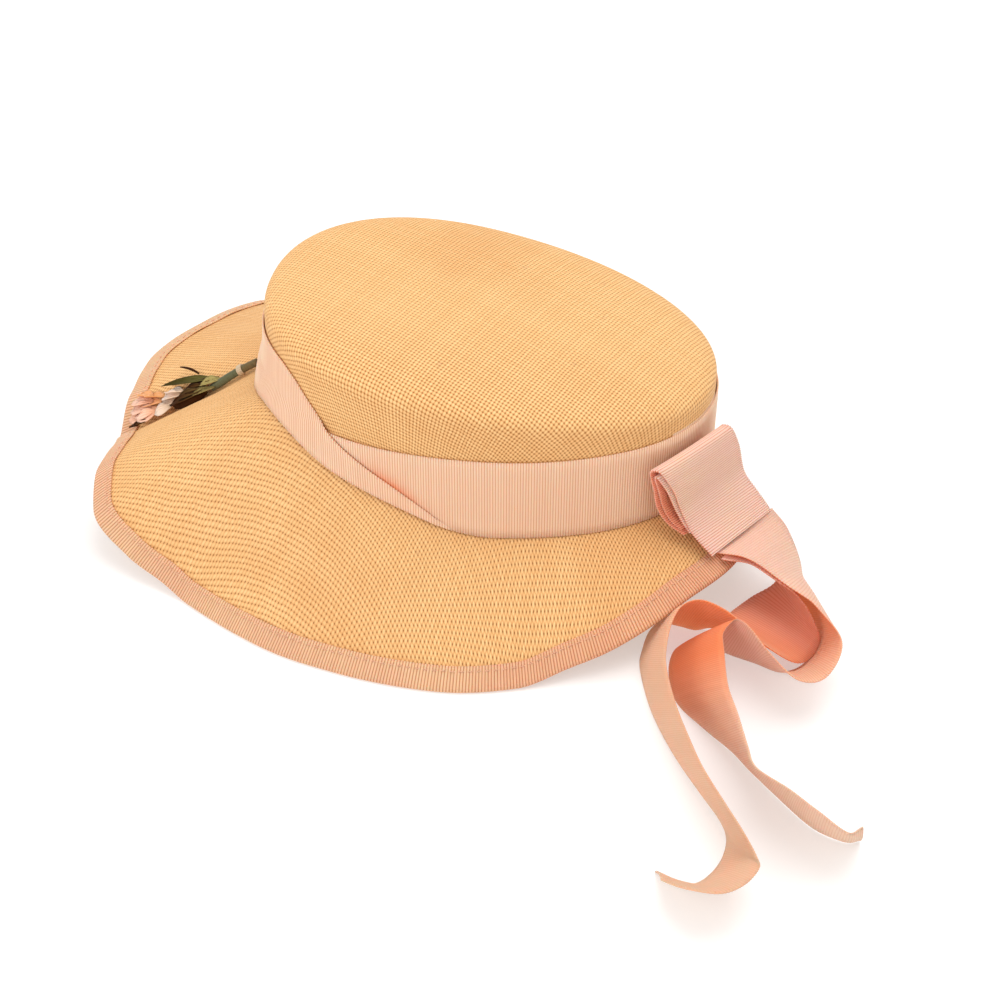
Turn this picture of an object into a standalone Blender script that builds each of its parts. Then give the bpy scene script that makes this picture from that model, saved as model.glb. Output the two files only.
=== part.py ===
"""A lady's straw hat with a ribbon band, a bow with two streamers and a spray of cloth flowers.

Tables and sizes are in millimetres and the meshes are made in metres, +Z up. The hat's front is
toward -Y, its left side toward +X. Heights are above the surface that the hat rests on. A bearing
is the angle round the crown's axis, 0 at the front, 90 on the left side and 180 at the back.
"""

import math

import bmesh
import bpy
import numpy as np
from mathutils import Vector

MM = 0.001

# The crown's axis lies this far from the middle of the whole part
AXIS_X = -50.9
AXIS_Y = -5.5

# Straw and ribbon
STRAW_THICKNESS = 1.2
RIBBON_WIDTH = 38.0
RIBBON_THICKNESS = 1.0
GAP = 0.35

# Crown
BASE_HEIGHT = 42.0
CROWN_HALF_LENGTH = 93.4
CROWN_HALF_WIDTH = 66.8
CROWN_SQUARENESS = 2.15
CROWN_EGG = -0.105
CROWN_WALL = 54.0
CROWN_DOME = 15.7
DOME_SHAPE = 1.83
DOME_EDGE = 4.0
CROWN_TILT = -0.149
CROWN_TAPER = 0.008
CROWN_STATIONS = 48
WALL_SHARES = (0.0, 0.16, 0.36, 0.6, 0.82, 1.0)
DOME_RINGS = (0.993, 0.975, 0.94, 0.88, 0.78, 0.64, 0.46, 0.24)

# The line where the crown meets the brim: angle round the plan, rise, spread outward
CROWN_FOOT = (
    (-180, 0, 0),
    (-90, 0, 0),
    (-60, 8, 1),
    (-40, 17, 4),
    (-20, 22, 6),
    (0, 23.5, 6),
    (12, 26, 5.2),
    (21, 30.2, 4.4),
    (30, 32.6, 3.6),
    (38, 31.2, 2.6),
    (46, 27.6, 1.7),
    (54, 22.8, 1),
    (63, 18, 0.3),
    (71, 14.2, 0),
    (79, 10, 0),
    (85, 6, 0),
    (91, 1.6, 0),
    (98, 0, 0),
    (110, 0, 0),
)

# Brim
BRIM_STATIONS = 84
BRIM_CROWDING = 0.55
BRIM_RINGS = (0.0, 0.05, 0.13, 0.25, 0.39, 0.54, 0.68, 0.81, 0.92, 1.0)
BRIM_LIP = 2.4
BRIM_DROOP = 1.3
FRONT_DROOP = 1.1

# Bearing in degrees, radius of the edge, height of the edge
BRIM_EDGE = (
    (-180, 117, 24),
    (-165, 109, 18),
    (-150, 106, 10),
    (-135, 106, 4),
    (-120, 108, 1.65),
    (-105, 112, 1.65),
    (-90, 118, 1.65),
    (-72, 126, 1.65),
    (-60, 136, 4),
    (-48, 152, 14),
    (-36, 167.5, 28),
    (-26, 169, 31),
    (-20, 171, 31),
    (-15, 172.5, 30),
    (-10, 170.5, 30),
    (-5, 168.5, 29),
    (0, 168.5, 29),
    (7, 164, 28),
    (11, 166, 29),
    (15, 169, 28),
    (20, 170, 21),
    (27, 158.5, 11),
    (33, 146.5, 5.5),
    (38, 140, 1.65),
    (49, 131.5, 1.65),
    (58, 126.5, 1.65),
    (71, 120, 1.65),
    (84, 116.5, 1.65),
    (95, 115, 1.65),
    (108, 112.5, 2.2),
    (118, 111.5, 8),
    (127, 113.5, 14),
    (136, 115.5, 21),
    (147, 116, 26),
    (160, 118, 27),
)

# The crease that runs from the crown to the front edge: x, y, depth, half-width
VALLEY = (
    (-3, -104, 3.0, 6.0),
    (0, -118, 6.0, 6.5),
    (0, -132, 9.0, 7.0),
    (3, -168, 14.0, 7.0),
)

# Binding on the brim's edge
BINDING_DEPTH = 9.6
BINDING_THICKNESS = 1.0
BINDING_GAP = 0.55
BINDING_STEPS = (0.0, 0.5, 1.0)

# Band: levels above the crown's foot plane
BAND_FOOT = 0.9
BAND_TOP = 39.3
BAND_LEVELS = (0.0, 0.3, 0.62, 1.0)

# Upper edge of the second turn: angle round the plan, level
OVERLAP_TOP = (
    (-150, 39.3),
    (-90, 39.6),
    (-60, 46),
    (-40, 54),
    (-20, 59),
    (0, 61),
    (15, 62),
    (28, 62.3),
    (36, 61.5),
    (43, 58),
    (51, 49),
    (59, 38),
    (67, 30),
    (75, 22.7),
    (80, 17.2),
    (84, 12.2),
    (88, 6.6),
)
OVERLAP_STEP = 7.5
END_ANGLES = (150, 157.5, 165, 172.5, 180)
END_TOP = 40.0
END_FOOT = 4.0

# Bow: share of its height, then the left and the right edge of its outer face there
BOW_FACE = (
    (0.0, 48.4, 104.0, 35, 12.9, 123.0, 35),
    (0.25, 46.8, 95.0, 43.5, 12.9, 116.6, 44),
    (0.5, 45.8, 90.0, 53, 12.4, 110.0, 54),
    (0.75, 47.2, 86.5, 64, 13.6, 107.8, 66),
    (1.0, 49.8, 81.5, 75, 16.8, 105.1, 78),
)

# Path of each loop: share of the bow's height, distance out from the face, slide to the left
LOOP_OUTER = (
    (0.02, -0.4, 0),
    (0.15, 0.0, 0),
    (0.35, 0.0, 0),
    (0.60, 0.0, 0),
    (0.80, 0.0, 0),
    (0.94, -0.8, 0.2),
    (1.00, -2.8, 0.8),
    (0.95, -4.9, 2.0),
    (0.82, -6.2, 3.8),
    (0.60, -7.2, 5.8),
    (0.35, -7.0, 5.4),
    (0.17, -4.4, 2.6),
    (0.12, -4.0, 1.8),
)
LOOP_INNER = (
    (0.12, -1.4, 0),
    (0.20, -1.4, 0.5),
    (0.42, -1.6, 1),
    (0.62, -1.7, 1.4),
    (0.78, -1.9, 1.7),
    (0.87, -2.6, 2.2),
    (0.90, -3.5, 2.9),
    (0.86, -4.4, 3.6),
    (0.74, -5.0, 4.2),
    (0.55, -5.4, 4.5),
    (0.38, -5.1, 3.8),
    (0.20, -3.3, 1.8),
    (0.13, -2.7, 0.8),
)

# Each streamer: foot x, y, z, lean from the foot to the upper edge x, y, z, share of width, bulge
STREAMER_ONE = (
    (11, 122, 30.2, 35, -15, 1, 1, 0),
    (11, 129, 18, 34, -9, 12, 1, 0),
    (14.7, 127.8, 19.2, 37.4, 7.5, 6.4, 1, 0),
    (19.6, 129.2, 12.9, 35.5, 13.9, 8.1, 1, 0),
    (27.8, 128.1, 8.3, 31.2, 20.9, 5.7, 1, 0),
    (39.4, 120.1, 8.5, 22.1, 31, -0.5, 1, 0),
    (56, 113, 12, 12, 34, -7, 1, 0),
    (57, 111, 10, 21, 31, 1, 1, 0),
    (56, 107.5, 4, 25, 22, 17, 1, 0),
    (54, 104, 1, 22.5, 15.5, 26, 1, 0),
    (55, 99, 0, 19, 13, 30, 1, 0),
    (54, 93, 0, 19, 10, 32, 1, 0),
    (54, 86, 0, 22, 10, 30, 1, 0),
    (60, 81, 0, 24, 12, 27, 1, 0),
    (73, 80, 0, 24, 13, 26, 1, 0),
    (84, 81, 0, 25, 14, 25, 1, 0),
    (104, 88, 0, 25, 14, 25, 1, 0),
    (120, 96, 0, 26, 14, 25, 1, 0),
    (136, 106, 0, 26, 12, 25, 1, 0),
    (151, 117, 0, 27, 12, 24, 1, 0),
    (163, 126, 0, 27, 11, 24, 1, 0),
    (172, 130, 0, 28, 14, 22, 1, 0),
    (182, 130, 0, 25, 16, 24, 1, 0),
    (191, 127, 0, 25, 15, 24, 1, 0),
    (197, 122, 0, 26, 13, 25, 1, 0),
    (197, 115, 0, 27, 9, 25, 0.9, 0),
    (194, 107, 0, 29, 8, 24, 0.6, 0),
)
STREAMER_TWO = (
    (11, 123, 33.7, 33, -19, -1, 1, 0),
    (12, 131, 24, 34, -13, 10, 1, -1),
    (19, 139.5, 10, 32, -5.5, 20, 1, -4),
    (31.5, 136.5, 6, 31, 16.5, 22, 1, -6.5),
    (51, 149, 1, 27, 12, 23, 1, -1),
    (66, 146, 0, 30, 11, 21, 1, 0),
    (73, 138, 0, 29, 9, 23, 1, 0),
    (70, 127, 0, 25, 8, 28, 1, 0),
    (68, 119, 0, 19, 7, 32, 1, 0),
    (65, 109, 0, 17, 12, 32, 1, 0),
    (64, 99, 0, 16, 18, 29, 1, 0),
    (70, 93, 0, 16, 21, 27, 1, 0),
    (84, 93, 0, 13, 23, 27, 1, 0),
    (101, 99, 0, 16, 22, 27, 1, 0),
    (114, 112, 0, 20, 15, 29, 1, 0),
    (124, 124, 0, 25, 9, 27, 1, 0),
    (134, 134, 0, 26, 4, 27, 1, 0),
    (149, 149, 0, 23, 3, 30, 1, 0),
    (160, 162, 0, 22, 2, 31, 1, 0),
    (164, 174, 0, 24, 2, 29, 0.9, 0),
    (162, 180, 0, 22, 1, 31, 0.75, 0),
)
STREAMER_SUBSTEPS = 3
STREAMER_SHARES = (0.0, 0.5, 1.0)
STREAMER_FOOT = 0.4

# Flower spray: x, y, height of the middle above the brim, half-width, half-height
STEM = (
    (-3, -104.6, 3.7, 1.7, 1.7),
    (-2, -110, 4.0, 1.7, 1.7),
    (-1, -116, 4.0, 1.7, 1.7),
    (0, -122, 3.5, 1.8, 1.8),
    (1, -127, 3.4, 1.9, 1.9),
)
TIE_AT = (-1.7, -112)
TIE_SECTION = ((2.1, -1.4), (2.9, -1.4), (2.9, 1.4), (2.1, 1.4))
CALYX = (
    (1, -127.6, 3.4, 1.0, 1.0),
    (2, -130, 4.2, 3.0, 2.2),
    (4, -134, 4.9, 4.4, 2.6),
    (5, -138, 5.2, 4.6, 2.6),
    (5, -141, 5.2, 3.0, 1.6),
)
LEAF_LONG = (
    (-6.5, -128, 4.0, 0.5, 0.5),
    (-7.0, -132, 5.0, 1.6, 0.6),
    (-7.6, -138, 6.0, 2.6, 0.6),
    (-8.4, -144, 7.0, 2.4, 0.6),
    (-9.4, -151, 7.4, 0.5, 0.5),
)
LEAF_SHORT = (
    (-3.5, -123.5, 4.2, 0.5, 0.5),
    (-3.8, -127, 4.8, 1.5, 0.7),
    (-3.6, -132, 5.4, 1.6, 0.7),
    (-3.6, -135, 5.6, 0.5, 0.5),
)
SPRIG = (
    (-10.5, -134.8, 3.0, 0.6, 0.6),
    (-12.5, -138.5, 4.0, 0.6, 0.6),
    (-15.0, -142.5, 4.0, 0.6, 0.6),
    (-18.0, -146, 3.0, 0.5, 0.5),
)
WHITE_PETALS = (
    (2.0, -142.0, 7.4, 3.0, 1.2),
    (1.0, -144.0, 7.8, 7.0, 2.0),
    (0.0, -147.5, 8.2, 8.0, 2.2),
    (0.0, -150.0, 8.4, 3.0, 1.0),
)
PINK_PETALS = (
    (0.0, -151.0, 9.0, 3.0, 1.0),
    (0.0, -153.5, 9.8, 8.5, 2.0),
    (-1.0, -158.0, 11.0, 9.5, 2.4),
    (-1.5, -162.0, 12.0, 7.0, 2.0),
    (-1.5, -164.5, 12.4, 3.0, 1.0),
)
SEPALS = (
    (10.0, -155.0, 4.0, 0.8, 0.6),
    (10.6, -158.0, 4.6, 2.0, 0.9),
    (11.0, -161.5, 4.6, 0.6, 0.5),
)
SPRAY_SIDES = 8

STRAW = (0.90, 0.66, 0.38)
RIBBON = (0.86, 0.50, 0.38)
BINDING = (0.76, 0.42, 0.28)
STEM_GREEN = (0.13, 0.15, 0.08)
TIE = (0.80, 0.65, 0.50)
LEAF_GREEN = (0.07, 0.06, 0.01)
LEAF_BROWN = (0.06, 0.02, 0.01)
PETAL_WHITE = (0.85, 0.68, 0.60)
PETAL_PINK = (0.85, 0.50, 0.38)


def smooth_table(rows, places, column, period=None):
    """Read a column at the given places by smooth curves that never overshoot the rows."""
    xs = np.array([row[0] for row in rows], float)
    ys = np.array([row[column] for row in rows], float)
    if period:
        xs = np.concatenate([xs - period, xs, xs + period])
        ys = np.concatenate([ys, ys, ys])
    steps = np.diff(xs)
    rises = np.diff(ys) / steps
    slopes = np.zeros(len(xs))
    same = rises[:-1] * rises[1:] > 0
    inner = 2 * rises[:-1] * rises[1:] / np.where(same, rises[:-1] + rises[1:], 1.0)
    slopes[1:-1] = np.where(same, inner, 0.0)
    places = np.atleast_1d(np.asarray(places, float))
    cell = np.clip(np.searchsorted(xs, places, side="right") - 1, 0, len(xs) - 2)
    part = np.clip((places - xs[cell]) / steps[cell], 0.0, 1.0)
    start = ys[cell] * (1 + 2 * part) * (1 - part) ** 2
    end = ys[cell + 1] * part**2 * (3 - 2 * part)
    bend = slopes[cell] * part * (1 - part) ** 2 - slopes[cell + 1] * part**2 * (1 - part)
    return start + end + bend * steps[cell]


def smooth_rows(rows, substeps):
    """Points of a smooth curve through the rows, every column alike."""
    rows = np.array(rows, float)
    padded = np.vstack([2 * rows[0] - rows[1], rows, 2 * rows[-1] - rows[-2]])
    found = []
    for first, start, end, last in zip(padded, padded[1:], padded[2:], padded[3:]):
        for step in range(substeps):
            u = step / substeps
            found.append(
                0.5
                * (
                    2 * start
                    + (end - first) * u
                    + (2 * first - 5 * start + 4 * end - last) * u**2
                    + (3 * start - first - 3 * end + last) * u**3
                )
            )
    found.append(rows[-1])
    return np.array(found)


def unit(vectors):
    return vectors / np.linalg.norm(vectors, axis=-1, keepdims=True)


def crown_foot(angle):
    """Rise and outward spread of the crown's foot at these angles."""
    degrees = (np.degrees(angle) + 180) % 360 - 180
    return smooth_table(CROWN_FOOT, degrees, 1, 360), smooth_table(CROWN_FOOT, degrees, 2, 360)


def crown_plan(angle):
    power = 2 / CROWN_SQUARENESS
    along = -np.sign(np.cos(angle)) * np.abs(np.cos(angle)) ** power
    across = np.sign(np.sin(angle)) * np.abs(np.sin(angle)) ** power
    width = CROWN_HALF_WIDTH * (1 + CROWN_EGG * along)
    return np.stack([width * across, CROWN_HALF_LENGTH * along], axis=-1)


def wall_level(angle):
    """Level of the wall's upper edge: the tip tilts, higher in front."""
    along = crown_plan(angle)[..., 1]
    return CROWN_WALL * (1 + CROWN_TILT * along / (CROWN_WALL + CROWN_DOME))


def crown_wall(angle, share):
    """Point of the straw's middle surface on the side wall, from its foot (0) to the tip (1)."""
    rise, spread = crown_foot(angle)
    plan = crown_plan(angle) * (1 + CROWN_TAPER * share)[..., None]
    plan = plan + unit(plan) * (spread * np.clip(1 - share, 0, 1) ** 1.6)[..., None]
    z = BASE_HEIGHT + rise + (wall_level(angle) - rise) * share
    return np.concatenate([plan, z[..., None]], axis=-1)


def wall_share(angle, level):
    """Share of the wall's height at a level above the foot plane."""
    rise, _ = crown_foot(angle)
    return (level - rise) / (wall_level(angle) - rise)


def crown_dome(angle, share):
    """Point of the tip, at this share of the way from the middle to the wall."""
    rim = crown_wall(angle, np.ones_like(angle))
    rise = CROWN_DOME * (1 - share**DOME_SHAPE) ** (1 / DOME_EDGE)
    height = CROWN_WALL + rise
    plan = rim[..., :2] * share
    z = BASE_HEIGHT + height + CROWN_TILT * plan[..., 1] * height / (CROWN_WALL + CROWN_DOME)
    return np.concatenate([plan, z[..., None]], axis=-1)


def valley_depth(x, y):
    """Depth of the front crease at this place."""
    ys = [-row[1] for row in VALLEY]
    centre = np.interp(-y, ys, [row[0] for row in VALLEY])
    depth = np.interp(-y, ys, [row[2] for row in VALLEY])
    width = np.interp(-y, ys, [row[3] for row in VALLEY])
    fade = np.clip((-y - 88) / 16, 0, 1)
    return fade * depth * np.exp(-0.5 * ((x - centre) / width) ** 2)


def brim_point(angle, share):
    """Point of the brim's middle surface, from the crown (0) to the edge (1)."""
    foot = crown_wall(angle, np.zeros_like(angle))
    bearing = np.degrees(np.arctan2(foot[..., 0], -foot[..., 1]))
    radius = smooth_table(BRIM_EDGE, bearing, 1, 360)
    level = smooth_table(BRIM_EDGE, bearing, 2, 360)
    turn = np.radians(bearing)
    edge = np.stack([radius * np.sin(turn), -radius * np.cos(turn)], axis=-1)
    plan = foot[..., :2] + (edge - foot[..., :2]) * share[..., None]
    front = np.clip(np.cos(turn), 0, 1) ** 6
    droop = BRIM_DROOP + (FRONT_DROOP - BRIM_DROOP) * front
    z = foot[..., 2] + (level - foot[..., 2]) * np.clip(share, 0, None) ** droop
    z = z - valley_depth(plan[..., 0], plan[..., 1])
    return np.concatenate([plan, z[..., None]], axis=-1)


def brim_height(x, y):
    """Height of the brim's upper face at a place near the front."""
    angle = np.radians(np.linspace(-60, 60, 481))
    foot = crown_wall(angle, np.zeros_like(angle))
    bearings = np.arctan2(foot[:, 0], -foot[:, 1])
    bearing = math.atan2(x, -y)
    found = np.array([np.interp(bearing, bearings, angle)])
    start = np.linalg.norm(crown_wall(found, np.zeros(1))[0, :2])
    edge = smooth_table(BRIM_EDGE, math.degrees(bearing), 1, 360)[0]
    share = np.array([(math.hypot(x, y) - start) / (edge - start)])
    return brim_point(found, share)[0, 2] + STRAW_THICKNESS / 2


def slopes_at(surface, angle, level, angle_step, level_step):
    """Unit vectors out along the surface and square to it."""
    along = surface(angle + angle_step, level) - surface(angle - angle_step, level)
    out = surface(angle, level + level_step) - surface(angle, level - level_step)
    return unit(out), unit(np.cross(along, out))


def material(name, colour, roughness=0.85):
    found = bpy.data.materials.new(name)
    found.use_nodes = True
    shader = found.node_tree.nodes["Principled BSDF"]
    shader.inputs["Base Color"].default_value = (*colour, 1.0)
    shader.inputs["Roughness"].default_value = roughness
    shader.inputs["Metallic"].default_value = 0.0
    found.diffuse_color = (*colour, 1.0)
    return found


def turn_faces_out(mesh):
    """Point every face of a closed mesh outward."""
    shape = bmesh.new()
    shape.from_mesh(mesh)
    bmesh.ops.recalc_face_normals(shape, faces=shape.faces)
    shape.to_mesh(mesh)
    shape.free()


def make_object(name, points, faces, colour, thickness=0.0, root=None):
    """A mesh object, in metres. A thickness makes a sheet solid, half of it to each side."""
    mesh = bpy.data.meshes.new(name)
    mesh.from_pydata([Vector(point) * MM for point in points], [], faces)
    mesh.validate()
    made = bpy.data.objects.new(name, mesh)
    bpy.context.scene.collection.objects.link(made)
    mesh.materials.append(material(name, colour))
    mesh.shade_smooth()
    mesh.set_sharp_from_angle(angle=math.radians(40))
    if thickness:
        solid = made.modifiers.new("Solidify", "SOLIDIFY")
        solid.thickness = thickness * MM
        solid.offset = 0.0
        solid.use_even_offset = True
        solid.use_quality_normals = True
    else:
        turn_faces_out(mesh)
    made.parent = root
    return made


def grid_faces(rows, columns, closed_rows=False, closed_columns=False):
    """Quads between the points of a grid that is numbered row by row."""
    faces = []
    for row in range(rows if closed_rows else rows - 1):
        after = (row + 1) % rows
        for column in range(columns if closed_columns else columns - 1):
            beside = (column + 1) % columns
            faces.append(
                (
                    row * columns + column,
                    row * columns + beside,
                    after * columns + beside,
                    after * columns + column,
                )
            )
    return faces


def crown_angles():
    return np.arange(CROWN_STATIONS) * 2 * math.pi / CROWN_STATIONS


def brim_angles():
    even = np.arange(BRIM_STATIONS) * 2 * math.pi / BRIM_STATIONS
    return even - BRIM_CROWDING * np.sin(even)


def make_crown(root):
    angle = crown_angles()
    wall = wall_level(angle) - crown_foot(angle)[0]
    lift = (STRAW_THICKNESS / 2 + GAP + 0.6) / wall
    rings = []
    for share in WALL_SHARES:
        rings.append(crown_wall(angle, np.maximum(share, lift)))
    for share in DOME_RINGS:
        rings.append(crown_dome(angle, share))
    points = list(np.concatenate(rings))
    faces = grid_faces(len(rings), CROWN_STATIONS, closed_columns=True)
    points.append(crown_dome(np.zeros(1), 0.0)[0])
    last = (len(rings) - 1) * CROWN_STATIONS
    for station in range(CROWN_STATIONS):
        faces.append((last + station, last + (station + 1) % CROWN_STATIONS, len(points) - 1))
    make_object("crown", points, faces, STRAW, STRAW_THICKNESS, root)


def make_brim(root):
    angle = brim_angles()
    rings = []
    for share in BRIM_RINGS:
        rings.append(brim_point(angle, np.full_like(angle, share)))
    lip = rings[0].copy()
    lip[:, :2] -= unit(lip[:, :2]) * BRIM_LIP
    rings.insert(0, lip)
    points = np.concatenate(rings)
    faces = grid_faces(len(rings), BRIM_STATIONS, closed_columns=True)
    make_object("brim", points, faces, STRAW, STRAW_THICKNESS, root)


def make_brim_binding(root):
    """A ribbon folded over the edge, U-shaped in section."""
    angle = brim_angles()
    width = np.linalg.norm(
        brim_point(angle, np.full_like(angle, 1.0)) - brim_point(angle, np.full_like(angle, 0.8)),
        axis=-1,
    ) / 0.2
    near = STRAW_THICKNESS / 2 + BINDING_GAP
    far = near + BINDING_THICKNESS
    places = []
    ups = []
    for step in BINDING_STEPS:
        share = 1 - step * BINDING_DEPTH / width
        places.append(brim_point(angle, share))
        outward, up = slopes_at(brim_point, angle, share, 0.004, 0.01)
        ups.append(up)
    outward, up = slopes_at(brim_point, angle, np.full_like(angle, 1.0), 0.004, 0.01)
    edge = places[0]
    # Section points, from the upper arm's inner end round the outside and back along the inside
    section = [places[2] + ups[2] * far, places[1] + ups[1] * far, places[0] + up * far]
    section.append(edge + outward * (GAP + BINDING_THICKNESS) + up * far * 0.45)
    section.append(edge + outward * (GAP + BINDING_THICKNESS) - up * far * 0.45)
    section.extend([places[0] - up * far, places[1] - ups[1] * far, places[2] - ups[2] * far])
    section.extend([places[2] - ups[2] * near, places[1] - ups[1] * near])
    section.append(edge + outward * GAP - up * near)
    section.append(edge + outward * GAP + up * near)
    section.extend([places[1] + ups[1] * near, places[2] + ups[2] * near])
    points = np.concatenate(section)
    faces = grid_faces(len(section), BRIM_STATIONS, closed_rows=True, closed_columns=True)
    make_object("brim_binding", points, faces, BINDING, root=root)


def band_grid(angle, foot, top, offset):
    """Rings of points on the crown's wall between two levels, set out from its middle surface."""
    rings = []
    for share in BAND_LEVELS:
        place = wall_share(angle, foot + (top - foot) * share)
        _, out = slopes_at(crown_wall, angle, place, 0.01, 0.01)
        rings.append(crown_wall(angle, place) + out * offset)
    return rings


def make_bands(root):
    first = STRAW_THICKNESS / 2 + GAP + RIBBON_THICKNESS / 2
    second = first + RIBBON_THICKNESS + GAP
    angle = crown_angles()
    rings = band_grid(angle, crown_foot(angle)[0] + BAND_FOOT, np.full_like(angle, BAND_TOP), first)
    faces = grid_faces(len(rings), CROWN_STATIONS, closed_columns=True)
    make_object("crown_band", np.concatenate(rings), faces, RIBBON, RIBBON_THICKNESS, root)

    degrees = np.append(np.arange(-150, 83, OVERLAP_STEP), OVERLAP_TOP[-1][0])
    angle = np.radians(degrees)
    top = smooth_table(OVERLAP_TOP, degrees, 1)
    rings = band_grid(angle, crown_foot(angle)[0] + BAND_FOOT, top, second)
    faces = grid_faces(len(rings), len(angle))
    make_object("band_overlap", np.concatenate(rings), faces, RIBBON, RIBBON_THICKNESS, root)

    angle = np.radians(END_ANGLES)
    level = np.ones_like(angle)
    rings = band_grid(angle, END_FOOT * level, END_TOP * level, second)
    faces = grid_faces(len(rings), len(angle))
    make_object("band_end", np.concatenate(rings), faces, RIBBON, RIBBON_THICKNESS, root)


def bow_edges(share):
    """Left and right edge of the bow's outer face at this share of its height."""
    found = [smooth_table(BOW_FACE, share, column)[0] for column in range(1, 7)]
    return np.array(found[:3]), np.array(found[3:])


def make_bow(root):
    """Two nested loops of ribbon behind the bow's outer face."""
    for name, path in (("bow_outer", LOOP_OUTER), ("bow_inner", LOOP_INNER)):
        points = []
        for share, distance, slide in smooth_rows(path, 2):
            left, right = bow_edges(share)
            above = np.mean(bow_edges(min(share + 0.2, 1.0)), axis=0)
            below = np.mean(bow_edges(max(share - 0.2, 0.0)), axis=0)
            across = unit(left - right)
            out = unit(np.cross(above - below, across))
            shift = out * distance + across * slide
            points.extend([left + shift, (left + right) / 2 + shift, right + shift])
        faces = grid_faces(len(points) // 3, 3)
        make_object(name, points, faces, RIBBON, RIBBON_THICKNESS, root)


def make_streamer(name, table, root):
    rows = smooth_rows(table, STREAMER_SUBSTEPS)
    foot = rows[:, :3] + np.array([0, 0, STREAMER_FOOT])
    foot[:, 2] = np.maximum(foot[:, 2], STREAMER_FOOT)
    lean = unit(rows[:, 3:6]) * (RIBBON_WIDTH * np.minimum(rows[:, 6], 1.0))[:, None]
    ahead = unit(np.gradient(foot + lean / 2, axis=0))
    bulge = unit(np.cross(ahead, lean)) * rows[:, 7:8]
    columns = [
        foot + lean * share + bulge * (4 * share * (1 - share) - 0.5)
        for share in STREAMER_SHARES
    ]
    points = np.stack(columns, axis=1).reshape(-1, 3)
    faces = grid_faces(len(rows), len(STREAMER_SHARES))
    make_object(name, points, faces, RIBBON, RIBBON_THICKNESS, root)


def make_rod(name, rows, colour, root):
    """A closed solid of oval sections along a path that lies over the brim."""
    centres = np.array([(x, y, brim_height(x, y) + lift) for x, y, lift, _, _ in rows])
    ahead = np.gradient(centres, axis=0)
    side = unit(np.cross(ahead, (0, 0, 1)))
    up = unit(np.cross(side, ahead))
    turns = 2 * math.pi * (np.arange(SPRAY_SIDES) + 0.5) / SPRAY_SIDES
    points = []
    for centre, across, above, row in zip(centres, side, up, rows):
        for turn in turns:
            spread = across * row[3] * math.cos(turn) + above * row[4] * math.sin(turn)
            points.append(centre + spread)
    faces = grid_faces(len(rows), SPRAY_SIDES, closed_columns=True)
    faces.append(tuple(range(SPRAY_SIDES)))
    faces.append(tuple(range(len(points) - SPRAY_SIDES, len(points))))
    make_object(name, points, faces, colour, root=root)


def make_tie(root):
    """A ring of thread round the stem."""
    near = [row for row in STEM if abs(row[1] - TIE_AT[1]) < 7]
    first, last = near[0], near[-1]
    start = np.array([first[0], first[1], brim_height(first[0], first[1]) + first[2]])
    end = np.array([last[0], last[1], brim_height(last[0], last[1]) + last[2]])
    ahead = unit(end - start)
    side = unit(np.cross(ahead, (0, 0, 1)))
    up = np.cross(side, ahead)
    centre = start + (end - start) * (TIE_AT[1] - start[1]) / (end[1] - start[1])
    points = []
    for turn in 2 * math.pi * (np.arange(SPRAY_SIDES) + 0.5) / SPRAY_SIDES:
        spoke = side * math.cos(turn) + up * math.sin(turn)
        points.extend(centre + spoke * radius + ahead * along for radius, along in TIE_SECTION)
    faces = grid_faces(SPRAY_SIDES, len(TIE_SECTION), closed_rows=True, closed_columns=True)
    make_object("stem_tie", points, faces, TIE, root=root)


def main():
    for old in list(bpy.data.objects):
        bpy.data.objects.remove(old, do_unlink=True)
    root = bpy.data.objects.new("hat", None)
    root.location = (AXIS_X * MM, AXIS_Y * MM, 0.0)
    bpy.context.scene.collection.objects.link(root)
    make_crown(root)
    make_brim(root)
    make_brim_binding(root)
    make_bands(root)
    make_bow(root)
    make_streamer("streamer_one", STREAMER_ONE, root)
    make_streamer("streamer_two", STREAMER_TWO, root)
    make_rod("flower_stem", STEM, STEM_GREEN, root)
    make_tie(root)
    make_rod("flower_calyx", CALYX, LEAF_BROWN, root)
    make_rod("leaf_long", LEAF_LONG, LEAF_GREEN, root)
    make_rod("leaf_short", LEAF_SHORT, LEAF_BROWN, root)
    make_rod("flower_sprig", SPRIG, LEAF_BROWN, root)
    make_rod("petals_white", WHITE_PETALS, PETAL_WHITE, root)
    make_rod("petals_pink", PINK_PETALS, PETAL_PINK, root)
    make_rod("flower_sepals", SEPALS, LEAF_BROWN, root)


main()
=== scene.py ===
"""A lady's straw hat with a corded ribbon band, a bow with two streamers and a flower spray.

Shapes are worked out in millimetres round the crown's axis, the hat's front toward -Y and its left
side toward +X. A bearing is the angle round that axis, 0 at the front and 90 on the left side.
"""

import functools
import logging
import math
from collections.abc import Callable, Sequence
from dataclasses import dataclass, field
from enum import Enum

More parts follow.
